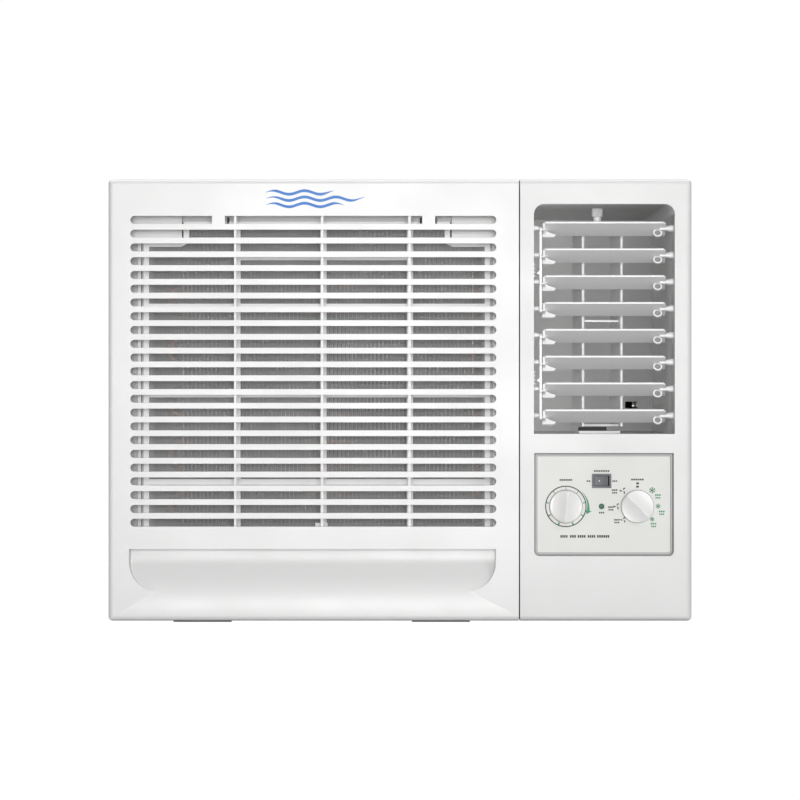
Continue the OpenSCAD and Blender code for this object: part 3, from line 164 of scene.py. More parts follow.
def make_mould_grain():
    """Fine even grain, with slow blotches of tone, for moulded, cast and painted surfaces."""
    group, given, made = node_group(
        "mould_grain", [("Grain Size", 0.001), ("Blotch Size", 0.06)], ["Height", "Blotch"])
    place = group.nodes.new("ShaderNodeTexCoord").outputs["Object"]
    for source, target, detail in (("Grain Size", "Height", 2), ("Blotch Size", "Blotch", 4)):
        texture = group.nodes.new("ShaderNodeTexNoise")
        texture.inputs["Detail"].default_value = detail
        group.links.new(place, texture.inputs["Vector"])
        group.links.new(math_node(group, "DIVIDE", 1.0, given.outputs[source]), texture.inputs["Scale"])
        group.links.new(texture.outputs["Fac"], made.inputs[target])
    return group


def make_drawn_lines():
    """Long scratches along one direction, for rolled, brushed and turned metal."""
    group, given, made = node_group(
        "drawn_lines", [("Line Width", 0.0006), ("X Stretch", 1), ("Y Stretch", 1), ("Z Stretch", 1)],
        ["Height", "Streak"])
    place = group.nodes.new("ShaderNodeTexCoord").outputs["Object"]
    split = group.nodes.new("ShaderNodeSeparateXYZ")
    join = group.nodes.new("ShaderNodeCombineXYZ")
    group.links.new(place, split.inputs[0])
    for axis in "XYZ":
        shrunk = math_node(group, "DIVIDE", split.outputs[axis], given.outputs[axis + " Stretch"])
        group.links.new(shrunk, join.inputs[axis])
    texture = group.nodes.new("ShaderNodeTexNoise")
    texture.inputs["Detail"].default_value = 3
    group.links.new(join.outputs[0], texture.inputs["Vector"])
    group.links.new(math_node(group, "DIVIDE", 1.0, given.outputs["Line Width"]), texture.inputs["Scale"])
    group.links.new(texture.outputs["Fac"], made.inputs["Height"])
    above = math_node(group, "SUBTRACT", texture.outputs["Fac"], STREAK_START)
    contrast = math_node(group, "MULTIPLY", above, STREAK_GAIN)
    group.links.new(contrast, made.inputs["Streak"])
    return group


def make_settled_dust():
    """Dust that settles on upward faces, thickest in slow patches."""
    group, given, made = node_group("settled_dust", [("Amount", 0.3), ("Patch Size", 0.05)], ["Dust"])
    normal = group.nodes.new("ShaderNodeNewGeometry").outputs["Normal"]
    split = group.nodes.new("ShaderNodeSeparateXYZ")
    group.links.new(normal, split.inputs[0])
    upward = math_node(group, "MAXIMUM", split.outputs["Z"], 0.0)
    place = group.nodes.new("ShaderNodeTexCoord").outputs["Object"]
    texture = group.nodes.new("ShaderNodeTexNoise")
    texture.inputs["Detail"].default_value = 5
    group.links.new(place, texture.inputs["Vector"])
    group.links.new(math_node(group, "DIVIDE", 1.0, given.outputs["Patch Size"]), texture.inputs["Scale"])
    patchy = math_node(group, "MULTIPLY", upward, texture.outputs["Fac"])
    group.links.new(math_node(group, "MULTIPLY", patchy, given.outputs["Amount"]), made.inputs["Dust"])
    return group


def make_painted_underside_group():
    """How far a face is turned down, for painted shade that makes thin mouldings darker on their lower faces than
    at their edges.
    """
    group, given, made = node_group("painted_underside_shade", [("Start", 0.35), ("End", 0.75)], ["Turned Down"])
    normal = group.nodes.new("ShaderNodeNewGeometry").outputs["Normal"]
    split = group.nodes.new("ShaderNodeSeparateXYZ")
    group.links.new(normal, split.inputs[0])
    down = math_node(group, "MULTIPLY", split.outputs["Z"], -1.0)
    share = share_between(group, down, given.outputs["Start"], given.outputs["End"])
    group.links.new(share, made.inputs["Turned Down"])
    return group


def make_painted_side_shade_group():
    """A slow change from left to right, for painted shade across a wall, that leaves the faces of side walls
    alone.
    """
    group, given, made = node_group("painted_side_shade", [("Left", 0.0), ("Right", 1.0)], ["Fade"])
    place = group.nodes.new("ShaderNodeTexCoord").outputs["Object"]
    split = group.nodes.new("ShaderNodeSeparateXYZ")
    group.links.new(place, split.inputs[0])
    share = share_between(group, split.outputs["X"], given.outputs["Left"], given.outputs["Right"])
    normal = group.nodes.new("ShaderNodeNewGeometry").outputs["Normal"]
    facing = group.nodes.new("ShaderNodeSeparateXYZ")
    group.links.new(normal, facing.inputs[0])
    sideways = math_node(group, "ABSOLUTE", facing.outputs["X"], 0.0)
    upright = math_node(group, "SUBTRACT", 1.0, sideways)
    group.links.new(math_node(group, "MULTIPLY", share, upright), made.inputs["Fade"])
    return group


MOULD_GRAIN = make_mould_grain()
DRAWN_LINES = make_drawn_lines()
SETTLED_DUST = make_settled_dust()
PAINTED_UNDERSIDE_GROUP = make_painted_underside_group()
PAINTED_SIDE_SHADE_GROUP = make_painted_side_shade_group()


# ---- Materials -------------------------------------------------------------------------------

def place_group(tree, group, **values):
    """A group node with its inputs set by name."""
    node = tree.nodes.new("ShaderNodeGroup")
    node.node_tree = group
    for label, value in values.items():
        node.inputs[label.replace("_", " ")].default_value = value
    return node


def mix_color(tree, factor, first, second):
    """The socket of a mix of two colours, each a value or another node's socket."""
    node = tree.nodes.new("ShaderNodeMix")
    node.data_type = "RGBA"
    tree.links.new(factor, node.inputs["Factor"])
    for label, value in (("A", first), ("B", second)):
        socket = next(s for s in node.inputs if s.name == label and s.type == "RGBA")
        if hasattr(value, "links"):
            tree.links.new(value, socket)
        else:
            socket.default_value = (*value[:3], 1)
    return next(s for s in node.outputs if s.type == "RGBA")


def remap(tree, value, low, high, source=(0.3, 0.7)):
    """The socket of a value moved from the source range to low and high."""
    node = tree.nodes.new("ShaderNodeMapRange")
    tree.links.new(value, node.inputs["Value"])
    node.inputs["From Min"].default_value, node.inputs["From Max"].default_value = source
    node.inputs["To Min"].default_value, node.inputs["To Max"].default_value = low, high
    return node.outputs["Result"]


def finish(name, color, second, rough, grain=0.0009, relief=0.00003, blotch=0.07, dust=0.0,
           lines=None, painted_underside_color=None, painted_side_darkening=None, **constants):
    """A surface of two close colours with grain or drawn lines, bump and optional dust, with optional painted
    shade on faces turned down and optional painted shade that darkens from left to right.
    """
    material = bpy.data.materials.new(name)
    material.use_nodes = True
    tree = material.node_tree
    shader = tree.nodes["Principled BSDF"]
    grained = place_group(tree, MOULD_GRAIN, Grain_Size=grain, Blotch_Size=blotch)
    height, tone = grained.outputs["Height"], grained.outputs["Blotch"]
    if lines:
        width, stretch = lines
        drawn = place_group(tree, DRAWN_LINES, Line_Width=width, X_Stretch=stretch[0],
                            Y_Stretch=stretch[1], Z_Stretch=stretch[2])
        height, tone = drawn.outputs["Height"], drawn.outputs["Streak"]
    tint = mix_color(tree, remap(tree, tone, 0, 1), color, second)
    # Painted shade: faces turned down get the darker colour.
    if painted_underside_color:
        turned = place_group(tree, PAINTED_UNDERSIDE_GROUP)
        tint = mix_color(tree, turned.outputs["Turned Down"], tint, painted_underside_color)
    # Painted shade: the colour darkens from left to right, except on side walls.
    if painted_side_darkening:
        shade_color, left, right = painted_side_darkening
        side_shaded = place_group(tree, PAINTED_SIDE_SHADE_GROUP, Left=left, Right=right)
        tint = mix_color(tree, side_shaded.outputs["Fade"], tint, shade_color)
    if dust:
        dusty = place_group(tree, SETTLED_DUST, Amount=dust, Patch_Size=0.05)
        tint = mix_color(tree, dusty.outputs["Dust"], tint, DUST_COLOR)
    tree.links.new(tint, shader.inputs["Base Color"])
    tree.links.new(remap(tree, tone, *rough), shader.inputs["Roughness"])
    bump = tree.nodes.new("ShaderNodeBump")
    bump.inputs["Distance"].default_value = relief
    tree.links.new(height, bump.inputs["Height"])
    tree.links.new(bump.outputs["Normal"], shader.inputs["Normal"])
    for label, value in constants.items():
        shader.inputs[label.replace("_", " ")].default_value = value
    return material


def grey(value):
    """An even grey."""
    return (value, value, value)


MATERIALS = {
    "white_plastic": finish("white_plastic", (0.618, 0.618, 0.615), (0.609, 0.609, 0.605), (0.34, 0.42),
                            dust=0.03),
    "grille_plastic": finish("grille_plastic", (0.662, 0.662, 0.66), (0.652, 0.652, 0.649), (0.32, 0.4),
                             dust=0.03),
    # Louvres: painted shade, grey 0.58 on faces turned down.
    "louver_plastic": finish("louver_plastic", (0.86, 0.862, 0.862), (0.84, 0.843, 0.845), (0.3, 0.38),
                             blotch=0.03, painted_underside_color=grey(0.58)),
    "knob_plastic": finish("knob_plastic", (0.80, 0.795, 0.787), (0.78, 0.775, 0.77), (0.28, 0.36),
                           grain=0.0006, blotch=0.02, Coat_Weight=0.15),
    "plate_plastic": finish("plate_plastic", (0.622, 0.627, 0.604), (0.606, 0.611, 0.589), (0.42, 0.5),
                            grain=0.0004, relief=0.00002),
    "switch_plastic": finish("switch_plastic", (0.10, 0.105, 0.115), (0.085, 0.09, 0.10), (0.4, 0.5),
                             grain=0.0004, relief=0.00005, blotch=0.01),
    "lamp_lens": finish("lamp_lens", (0.03, 0.105, 0.055), (0.04, 0.125, 0.065), (0.45, 0.55),
                        grain=0.002, blotch=0.004),
    # Outlet duct: painted shade, darkening to grey 0.47 towards the right side of the outlet, side walls left
    # alone.
    "duct_foam": finish("duct_foam", grey(0.95), (0.93, 0.93, 0.92), (0.7, 0.85), grain=0.0014,
                        relief=0.00012, blotch=0.05, dust=0.1, painted_side_darkening=(grey(0.47), duct_left, duct_right)),
    "scroll_plastic": finish("scroll_plastic", (0.62, 0.62, 0.59), (0.56, 0.56, 0.54), (0.5, 0.65), dust=0.3),
    "fan_plastic": finish("fan_plastic", (0.06, 0.063, 0.068), (0.09, 0.09, 0.092), (0.35, 0.5), dust=0.5),
    "filter_plastic": finish("filter_plastic", (0.84, 0.845, 0.84), (0.81, 0.815, 0.81), (0.45, 0.55),
                             dust=0.05),
    "filter_net": finish("filter_net", grey(0.27), grey(0.36), (0.6, 0.75), dust=0.1),
    "painted_steel": finish("painted_steel", (0.66, 0.65, 0.60), (0.63, 0.62, 0.575), (0.42, 0.55),
                            grain=0.0016, relief=0.00008, blotch=0.12, dust=0.15),
    "galvanised": finish("galvanised", (0.50, 0.51, 0.52), (0.60, 0.61, 0.62), (0.32, 0.5),
                         grain=0.006, relief=0.00002, blotch=0.012, dust=0.25, Metallic=0.85),
    "dark_steel": finish("dark_steel", (0.022, 0.023, 0.025), (0.035, 0.036, 0.038), (0.25, 0.4),
                         grain=0.002, relief=0.00006, dust=0.3),
    "motor_metal": finish("motor_metal", (0.20, 0.215, 0.23), (0.17, 0.18, 0.19), (0.4, 0.55),
                          grain=0.0015, relief=0.00008, dust=0.3, Metallic=0.2),
    "bare_steel": finish("bare_steel", (0.55, 0.56, 0.58), (0.45, 0.46, 0.48), (0.22, 0.38),
                         lines=(0.0006, (12, 1, 12)), Metallic=1.0),
    "fin_aluminium": finish("fin_aluminium", (0.66, 0.67, 0.68), (0.52, 0.53, 0.54), (0.3, 0.5),
                            lines=(0.0012, (1, 1, 8)), dust=0.2, Metallic=0.9),
    "copper": finish("copper", (0.72, 0.36, 0.20), (0.46, 0.22, 0.13), (0.22, 0.45), blotch=0.02,
                     grain=0.001, relief=0.00003, Metallic=1.0),
    "capacitor_can": finish("capacitor_can", (0.62, 0.63, 0.65), (0.55, 0.56, 0.58), (0.25, 0.4),
                            lines=(0.0005, (10, 10, 1)), Metallic=1.0),
    "control_body": finish("control_body", (0.16, 0.145, 0.12), (0.13, 0.12, 0.10), (0.5, 0.65), dust=0.2),
    "black_rubber": finish("black_rubber", (0.018, 0.018, 0.019), (0.03, 0.03, 0.031), (0.6, 0.8),
                           grain=0.0008, relief=0.00008, dust=0.3),
}
BLACK_PRINT = finish("black_print", (0.012, 0.012, 0.012), (0.02, 0.02, 0.02), (0.5, 0.6), blotch=0.004)
GREEN_PRINT = finish("green_print", (0.012, 0.20, 0.07), (0.016, 0.24, 0.085), (0.45, 0.55), blotch=0.004)
BLUE_PRINT = finish("blue_print", (0.004, 0.13, 0.45), (0.005, 0.15, 0.50), (0.4, 0.5), blotch=0.006)
GREY_PRINT = finish("grey_print", (0.16, 0.16, 0.16), (0.2, 0.2, 0.2), (0.5, 0.6), blotch=0.004)
# Painted shadow lines and painted groove shade in the gap around the control plate.
PAINTED_GAP_SHADOW = finish("gap_shadow_paint", grey(0.13), grey(0.16), (0.5, 0.6), blotch=0.02)
PAINTED_GROOVE_SHADE = finish("groove_shade_paint", grey(0.40), grey(0.44), (0.45, 0.55), blotch=0.03)
WHITE_DOT = finish("white_dot", grey(0.85), grey(0.8), (0.4, 0.5), blotch=0.004)
FLOOR = finish("studio_floor", grey(0.5), grey(0.48), (0.6, 0.7), blotch=0.6)


# ---- Making pieces ----------------------------------------------------------------------------

def add_piece(name, mesh_maker, material, body, smooth=True):
    """A new piece: bmesh from mesh_maker, material, and the body that it belongs to."""
    shape = bmesh.new()
    mesh_maker(shape)
    bmesh.ops.recalc_face_normals(shape, faces=shape.faces)
    mesh = bpy.data.meshes.new(name)
    shape.to_mesh(mesh)
    shape.free()
    mesh.polygons.foreach_set("use_smooth", [smooth] * len(mesh.polygons))
    piece = bpy.data.objects.new(name, mesh)
    bpy.context.collection.objects.link(piece)
    mesh.materials.append(material)
    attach(piece, body)
    return piece


def slab(shape, low, high):
    """A box between two corners."""
    corners = [shape.verts.new((x, y, z)) for x in (low[0], high[0]) for y in (low[1], high[1])
               for z in (low[2], high[2])]
    for face in ((0, 1, 3, 2), (4, 6, 7, 5), (0, 4, 5, 1), (2, 3, 7, 6), (0, 2, 6, 4), (1, 5, 7, 3)):
        shape.faces.new([corners[i] for i in face])


def prism(shape, outline, y_near, y_far):
    """A flat plate whose outline is a list of (x, z), from y_near back to y_far."""
    near = [shape.verts.new((x, y_near, z)) for x, z in outline]
    far = [shape.verts.new((x, y_far, z)) for x, z in outline]
    shape.faces.new(near)
    shape.faces.new(far[::-1])
    count = len(outline)
    for i in range(count):
        shape.faces.new((near[i], far[i], far[(i + 1) % count], near[(i + 1) % count]))


def ring(shape, x, z, inner, outer, y_near, y_far, segments=96, start=0.0, sweep=2 * math.pi):
    """A flat ring, or part of one, around (x, z). Angles run clockwise from the top."""
    closed = sweep >= 2 * math.pi - 1e-6
    steps = segments if closed else segments + 1
    loops = []
    for i in range(steps):
        turn = start + sweep * i / segments
        sine, cosine = math.sin(turn), math.cos(turn)
        loops.append([shape.verts.new((x + radius * sine, y, z + radius * cosine))
                      for radius, y in ((inner, y_near), (outer, y_near), (outer, y_far), (inner, y_far))])
    for i in range(segments):
        a, b = loops[i], loops[(i + 1) % steps]
        for k in range(4):
            shape.faces.new((a[k], b[k], b[(k + 1) % 4], a[(k + 1) % 4]))
    if not closed:
        shape.faces.new(loops[0])
        shape.faces.new(loops[-1][::-1])


def tube(shape, start, end, radius, sides=12):
    """A round bar from start to end, with closed ends."""
    start, end = Vector(start), Vector(end)
    turn = (end - start).to_track_quat("Z", "Y").to_matrix().to_4x4()
    loops = []
    for at in (start, end):
        loops.append([shape.verts.new(at + turn @ Vector((radius * math.cos(a), radius * math.sin(a), 0)))
                      for a in (2 * math.pi * i / sides for i in range(sides))])
    for i in range(sides):
        j = (i + 1) % sides
        shape.faces.new((loops[0][i], loops[0][j], loops[1][j], loops[1][i]))
    shape.faces.new(loops[0][::-1])
    shape.faces.new(loops[1])


# ---- CAD nodes: finish and softened edges --------------------------------------------------------

EDGE_SOFTNESS = {
    "front_frame": 0.5, "intake_grille": 0.6, "sleeve": 0.35, "base_pan": 0.4, "control_plate": 0.25,
    "rocker_bezel": 0.4, "swing_rocker": 0.5, "filter_frame": 0.5, "discharge_duct": 0.4, "swing_vanes": 0.5,
    "swing_motor": 0.4, "blower_scroll": 0.8, "blower_wheel": 0.2, "fan_motor": 1.5, "motor_bracket": 0.5,
    "propeller_fan": 0.6, "fan_shroud": 0.4, "compressor": 0.8, "compressor_grommets": 0.8,
    "accumulator": 1.5, "thermostat": 0.8, "selector_switch": 0.8, "run_capacitor": 0.6,
    "cord_bushing": 0.6, "drain_spout": 0.5, "base_rails": 0.6, "fan_shaft": 0.5, "upper_link": 0.25,
    "lower_link": 0.25, "front_feet": 0.2,
}
OTHER_SOFTNESS = 0.3
LOUVER_SOFTNESS = 0.45
SOFT_ANGLE = math.radians(28)
SOFT_STEPS = 3
JOIN_DISTANCE = 0.005 * MM


def soften(part, width):
    """Rounded edges of the given width, in millimetres, with even shading."""
    weld = part.modifiers.new("join_faces", "WELD")
    weld.merge_threshold = JOIN_DISTANCE
    bevel = part.modifiers.new("soft_edges", "BEVEL")
    bevel.width = width * MM
    bevel.segments = SOFT_STEPS
    bevel.limit_method = "ANGLE"
    bevel.angle_limit = SOFT_ANGLE
    bevel.use_clamp_overlap = True
    bevel.miter_outer = "MITER_ARC"
    part.modifiers.new("even_shading", "WEIGHTED_NORMAL")


def dress_cad_nodes():
    """The record's material and softened edges on every CAD node."""
    slots = {row["node"]: row["material_slot"] for row in frame["record"]["subparts"]}
    for name, part in frame["nodes"].items():
        material = MATERIALS[slots[name]]
        part.data.materials.clear()
        part.data.materials.append(material)
        part.data.polygons.foreach_set("use_smooth", [True] * len(part.data.polygons))
        louver = name.startswith("louver")
        soften(part, LOUVER_SOFTNESS if louver else EDGE_SOFTNESS.get(name, OTHER_SOFTNESS))


# ---- Air filter net ------------------------------------------------------------------------------

NET_PITCH = 1.3 * MM
THREAD = 0.66 * MM
SHOULDER_WIDTH = 38.8 * MM
SHOULDER_HEIGHT = 19 * MM


def weave_net(shape):
    """Upright and level threads that follow the filter's T-shaped outline."""
    low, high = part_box("filter_mesh")
    middle_y = (low[1] + high[1]) / 2
    columns = int((high[0] - low[0]) / NET_PITCH)
    for i in range(1, columns):
        x = low[0] + i * NET_PITCH
        narrow = x < low[0] + SHOULDER_WIDTH or x > high[0] - SHOULDER_WIDTH
        top = high[2] - SHOULDER_HEIGHT if narrow else high[2]
        slab(shape, (x - THREAD / 2, low[1], low[2]), (x + THREAD / 2, middle_y, top))
    rows = int((high[2] - low[2]) / NET_PITCH)
    for i in range(1, rows):
        z = low[2] + i * NET_PITCH
        inset = SHOULDER_WIDTH if z > high[2] - SHOULDER_HEIGHT else 0
        slab(shape, (low[0] + inset, middle_y, z - THREAD / 2), (high[0] - inset, high[1], z + THREAD / 2))


# ---- Fin packs -----------------------------------------------------------------------------------

FIN_PITCH = 2.0 * MM
FIN_THICKNESS = 0.22 * MM
HAIRPIN_RISE = 25.4 * MM
HAIRPIN_RADIUS = 4.76 * MM
HAIRPIN_START = 14 * MM
HAIRPIN_MARGIN = 20 * MM
COIL_ROWS = 2


def stack_fins(node):
    """Thin upright fins side by side over the node's box."""
    low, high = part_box(node)

    def build(shape):
        count = int((high[0] - low[0]) / FIN_PITCH)
        for i in range(count + 1):
            x = low[0] + FIN_THICKNESS / 2 + i * (high[0] - low[0] - FIN_THICKNESS) / count
            slab(shape, (x - FIN_THICKNESS / 2, low[1], low[2]), (x + FIN_THICKNESS / 2, high[1], high[2]))
    return build


def run_tubes(node):
    """Level tubes through the fins, in rows one behind the other."""
    low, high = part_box(node)

    def build(shape):
        depth = high[1] - low[1]
        levels = int((high[2] - low[2] - HAIRPIN_MARGIN) / (2 * HAIRPIN_RISE)) * 2
        for row in range(COIL_ROWS):
            for i in range(levels):
                y = low[1] + depth * (row + 0.5) / COIL_ROWS
                z = low[2] + HAIRPIN_START + i * HAIRPIN_RISE
                tube(shape, (low[0], y, z), (high[0], y, z), HAIRPIN_RADIUS)
    return build


# ---- Knobs ---------------------------------------------------------------------------------------

KNOB_SKIRT = 3.0 * MM
KNOB_GAP = 0.4 * MM
KNOB_SLIMMING = 0.5 * MM
RIDGE_POWER = 1.7
RIDGE_REACH = 0.92
RIDGE_BLUNTING = 0.03
RIDGE_BLUNT_WIDTH = 0.9 * MM
EDGE_DROP = 0.25
EDGE_DROP_POWER = 6
ROUND_START = 0.97
ROUND_DROP = 0.16
KNOB_RINGS = 22
KNOB_SPOKES = 96
STEM_RADIUS = 3 * MM
STEM_SIDES = 32
RIDGE_TURNS = (("thermostat_knob", 6), ("selector_knob", 135))


def skin(shape, loops):
    """Quads between each loop of points and the next one, round a closed form."""
    for a, b in zip(loops, loops[1:]):
        for s in range(len(a)):
            n = (s + 1) % len(a)
            shape.faces.new((a[s], b[s], b[n], a[n]))


def carve_knob(node, angle):
    """A round knob whose two hollow flanks meet in a grip ridge, turned clockwise by angle."""
    low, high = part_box(node)
    radius = (high[0] - low[0]) / 2 - KNOB_SLIMMING
    centre_x, centre_z = (low[0] + high[0]) / 2, (low[2] + high[2]) / 2
    face = low[1]
    back = plate_low[1] - KNOB_GAP
    rise = back - face
    turns = [2 * math.pi * s / KNOB_SPOKES for s in range(KNOB_SPOKES)]

    def height(across, along):
        edge = 1 - min(1.0, math.hypot(across, along) / radius) ** EDGE_DROP_POWER * EDGE_DROP
        crest = max(0.0, 1 - abs(across) / (radius * RIDGE_REACH)) ** RIDGE_POWER
        blunt = RIDGE_BLUNTING * math.exp(-(across / RIDGE_BLUNT_WIDTH) ** 2 / 2)
        return KNOB_SKIRT + (rise - KNOB_SKIRT) * (crest - blunt) * edge

    def build(shape):
        sine, cosine = math.sin(angle), math.cos(angle)
        centre = shape.verts.new((centre_x, face + rise * RIDGE_BLUNTING, centre_z))
        loops = []
        for r in range(1, KNOB_RINGS + 1):
            share = math.sin(math.pi / 2 * r / KNOB_RINGS)
            rim = max(0.0, share - ROUND_START) / (1 - ROUND_START)
            loop = []
            for turn in turns:
                across, along = radius * share * math.sin(turn), radius * share * math.cos(turn)
                y = back - height(across, along) * (1 - ROUND_DROP * rim)
                loop.append(shape.verts.new((centre_x + across * cosine + along * sine, y,
                                             centre_z - across * sine + along * cosine)))
            loops.append(loop)
        loops.append([shape.verts.new((v.co.x, back, v.co.z)) for v in loops[-1]])
        for s in range(KNOB_SPOKES):
            shape.faces.new((centre, loops[0][s], loops[0][(s + 1) % KNOB_SPOKES]))
        skin(shape, loops)
        shape.faces.new(loops[-1])
    return build


def knob_stem(node):
    """The shaft behind a knob."""
    low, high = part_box(node)
    x, z = (low[0] + high[0]) / 2, (low[2] + high[2]) / 2
    start = plate_low[1] - KNOB_GAP
    return lambda shape: tube(shape, (x, start, z), (x, high[1], z), STEM_RADIUS, STEM_SIDES)


# ---- Printing on the control plate ------------------------------------------------------------------

INK = 0.06 * MM
INK_SINK = 0.01 * MM
ink_back = plate_low[1] + INK_SINK
ink_face = plate_low[1] - INK

OUTER_RING = (18.9 * MM, 19.9 * MM)
INNER_RING = (15.6 * MM, 16.0 * MM)
TICK_SPACING = 39.5
TICKS_EACH_SIDE = 4
TICK_PLACE = 17.7 * MM
TICK_LENGTH = 2.4 * MM
TICK_WIDTH = 0.45 * MM
TICK_GROWTH = 0.25 * MM
ARROW_START, ARROW_END = 48, 102
ARROW_RADIUS = 20.8 * MM
ARROW_TAIL = 0.3 * MM
ARROW_GROWTH = 2.4 * MM
ARROW_GROWTH_POWER = 1.2
ARROW_INNER_SHARE = 0.1
ARROW_STEPS = 28
ARROWHEAD = ((19.3 * MM, 100), (21.3 * MM, 111), (25.2 * MM, 100.5))


def knob_centre(joint):
    """Where a knob's axis meets the plate, as (x, z)."""
    place = joints[joint]["pos_m"]
    return place[0], place[2]


def beside(centre, offset):
    """The place at an offset, given in millimetres, from centre."""
    return centre[0] + offset[0] * MM, centre[1] + offset[1] * MM


def around(centre, radius, degrees):
    """The place at radius from centre, turned clockwise from the top."""
    turn = math.radians(degrees)
    return centre[0] + radius * math.sin(turn), centre[1] + radius * math.cos(turn)


def bar(shape, middle, length, width, degrees):
    """A printed bar centred on middle, its length turned clockwise from upright."""
    turn = math.radians(degrees)
    along = Vector((math.sin(turn), math.cos(turn))) * length / 2
    side = Vector((math.cos(turn), -math.sin(turn))) * width / 2
    centre = Vector(middle)
    outline = [centre - along - side, centre + along - side, centre + along + side, centre - along + side]
    prism(shape, [tuple(p) for p in outline], ink_face, ink_back)


def thermostat_ring(shape):
    """Two printed circles around the thermostat knob."""
    for inner, outer in (OUTER_RING, INNER_RING):
        ring(shape, *knob_centre("thermostat_turn"), inner, outer, ink_face, ink_back)


def selector_ring(shape):
    """A printed circle around the selector knob."""
    ring(shape, *knob_centre("selector_turn"), *INNER_RING, ink_face, ink_back)


def thermostat_ticks(shape):
    """Tick marks around the thermostat knob, wider towards the coldest and warmest ends."""
    centre = knob_centre("thermostat_turn")
    for i in range(-TICKS_EACH_SIDE, TICKS_EACH_SIDE + 1):
        degrees = TICK_SPACING * i
        width = TICK_WIDTH + TICK_GROWTH * abs(i)
        bar(shape, around(centre, TICK_PLACE, degrees), TICK_LENGTH, width, degrees)


def colder_arrow(shape):
    """A tapered arc with an arrowhead, beside the thermostat knob."""
    centre = knob_centre("thermostat_turn")
    inner, outer = [], []
    for i in range(ARROW_STEPS + 1):
        share = i / ARROW_STEPS
        degrees = ARROW_START + (ARROW_END - ARROW_START) * share
        thick = ARROW_TAIL + ARROW_GROWTH * share ** ARROW_GROWTH_POWER
        inner.append(around(centre, ARROW_RADIUS - thick * ARROW_INNER_SHARE, degrees))
        outer.append(around(centre, ARROW_RADIUS + thick * (1 - ARROW_INNER_SHARE), degrees))
    prism(shape, inner + outer[::-1], ink_face, ink_back)
    head = [around(centre, radius, degrees) for radius, degrees in ARROWHEAD]
    prism(shape, head, ink_face - INK_SINK, ink_back)


# Parts of the signs, as shares of a sign's size.
ARM_WIDTH = 0.13
TWIG_PLACE, TWIG_REACH, TWIG_LENGTH, TWIG_WIDTH = 0.3, 0.09, 0.2, 0.09
TWIG_LEANS = (-45, 45)
BLADE_ROOT = 0.08
BLADE_NEAR, BLADE_SWELL = 0.12, 0.4
BLADE_PHASE = 0.2
BLADE_STEPS = 10
BLADE_LEAN, BLADE_SWEEP = 6, 52


def snowflake(shape, centre, size):
    """Three crossed bars with two short twigs on each arm."""
    for i in range(3):
        bar(shape, centre, size, size * ARM_WIDTH, 60 * i)
    for i in range(6):
        joint = around(centre, size * TWIG_PLACE, 60 * i)
        for lean in TWIG_LEANS:
            middle = around(joint, size * TWIG_REACH, 60 * i + lean)
            bar(shape, middle, size * TWIG_LENGTH, size * TWIG_WIDTH, 60 * i + lean)


def fan_mark(shape, centre, size):
    """Three short blades around a hub."""
    for i in range(3):
        outline = [around(centre, size * BLADE_ROOT, 120 * i)]
        for k in range(BLADE_STEPS + 1):
            share = k / BLADE_STEPS
            reach = BLADE_NEAR + BLADE_SWELL * math.sin(math.pi / 2 * share + BLADE_PHASE)
            outline.append(around(centre, size * reach, 120 * i - BLADE_LEAN + BLADE_SWEEP * share))
        prism(shape, outline, ink_face, ink_back)


# Signs around the selector knob: offset from its centre, then size, in millimetres.
COLD_MARKS = ((14.3, 15.5, 6.0), (19.9, 0.2, 4.8), (14.3, -12.4, 4.4))
FAN_MARKS = ((-13.8, 15.1, 6.6), (-19.8, 0.2, 6.2), (-13.4, -12.8, 5.8))
OFF_BARS = ((0.2, 19.0), (0.2, 22.1))
OFF_BAR_SIZE = (1.9 * MM, 2.6 * MM)


def selector_marks_cold(shape):
    """The snowflakes of the cooling positions."""
    centre = knob_centre("selector_turn")
    for x, z, size in COLD_MARKS:
        snowflake(shape, beside(centre, (x, z)), size * MM)


def selector_marks_fan(shape):
    """The fan signs, and the two bars of the off position."""
    centre = knob_centre("selector_turn")
    for x, z, size in FAN_MARKS:
        fan_mark(shape, beside(centre, (x, z)), size * MM)
    for offset in OFF_BARS:
        bar(shape, beside(centre, offset), *OFF_BAR_SIZE, 0)


# Places of the printed words, as offsets from a knob's centre or the lamp's, in millimetres.
THERMOSTAT_TITLE = (0, 25.4)
SELECTOR_TITLE = (0, 25.8)
SWITCH_TITLE = (0, 34)
SWITCH_LEFT, SWITCH_RIGHT = (-12.6, 24.3), (12.6, 24.3)
LAMP_WORD = (0, -6)
COLD_WORDS = ((19.7, 9.6), (23.4, -6.2), (15.5, -17.9))
FAN_WORDS = ((-21.9, 14.4), (-25.4, -2.0), (-19.7, -14.2))
# The two lines of a word, as (rise, width), and the foot line's words, as (start, end).
WORD_LINES = ((1.3, 5.4), (-1.3, 4.6))
FOOT_WORDS = ((-5.3, 1.6), (4.0, 9.6), (11.4, 18.9), (21.0, 28.2), (30.0, 41.7))
FOOT_DROP = 28.8
FOOT_CELL = 1.7
RULE_GAP = 0.45 * MM
RULE_HEIGHT = 1.5 * MM
TITLE_HEIGHT = 1.6 * MM
FOOT_HEIGHT = 2.5 * MM
TITLE_WIDTH = 12 * MM
SWITCH_TITLE_WIDTH = 15 * MM
LEFT_WORD_WIDTH, RIGHT_WORD_WIDTH = 3.6 * MM, 4.6 * MM
LAMP_WORD_WIDTH = 5 * MM


def word_rule(shape, centre, width, cells, height=RULE_HEIGHT):
    """A row of short blocks that stands where a printed word would be."""
    cell = (width - RULE_GAP * (cells - 1)) / cells
    for i in range(cells):
        x = centre[0] - width / 2 + cell / 2 + i * (cell + RULE_GAP)
        bar(shape, (x, centre[1]), height, cell, 0)


def two_lines(shape, centre, offset):
    """Two short printed lines, one above the other."""
    for rise, width in WORD_LINES:
        word_rule(shape, beside(centre, (offset[0], offset[1] + rise)), width * MM, 3)


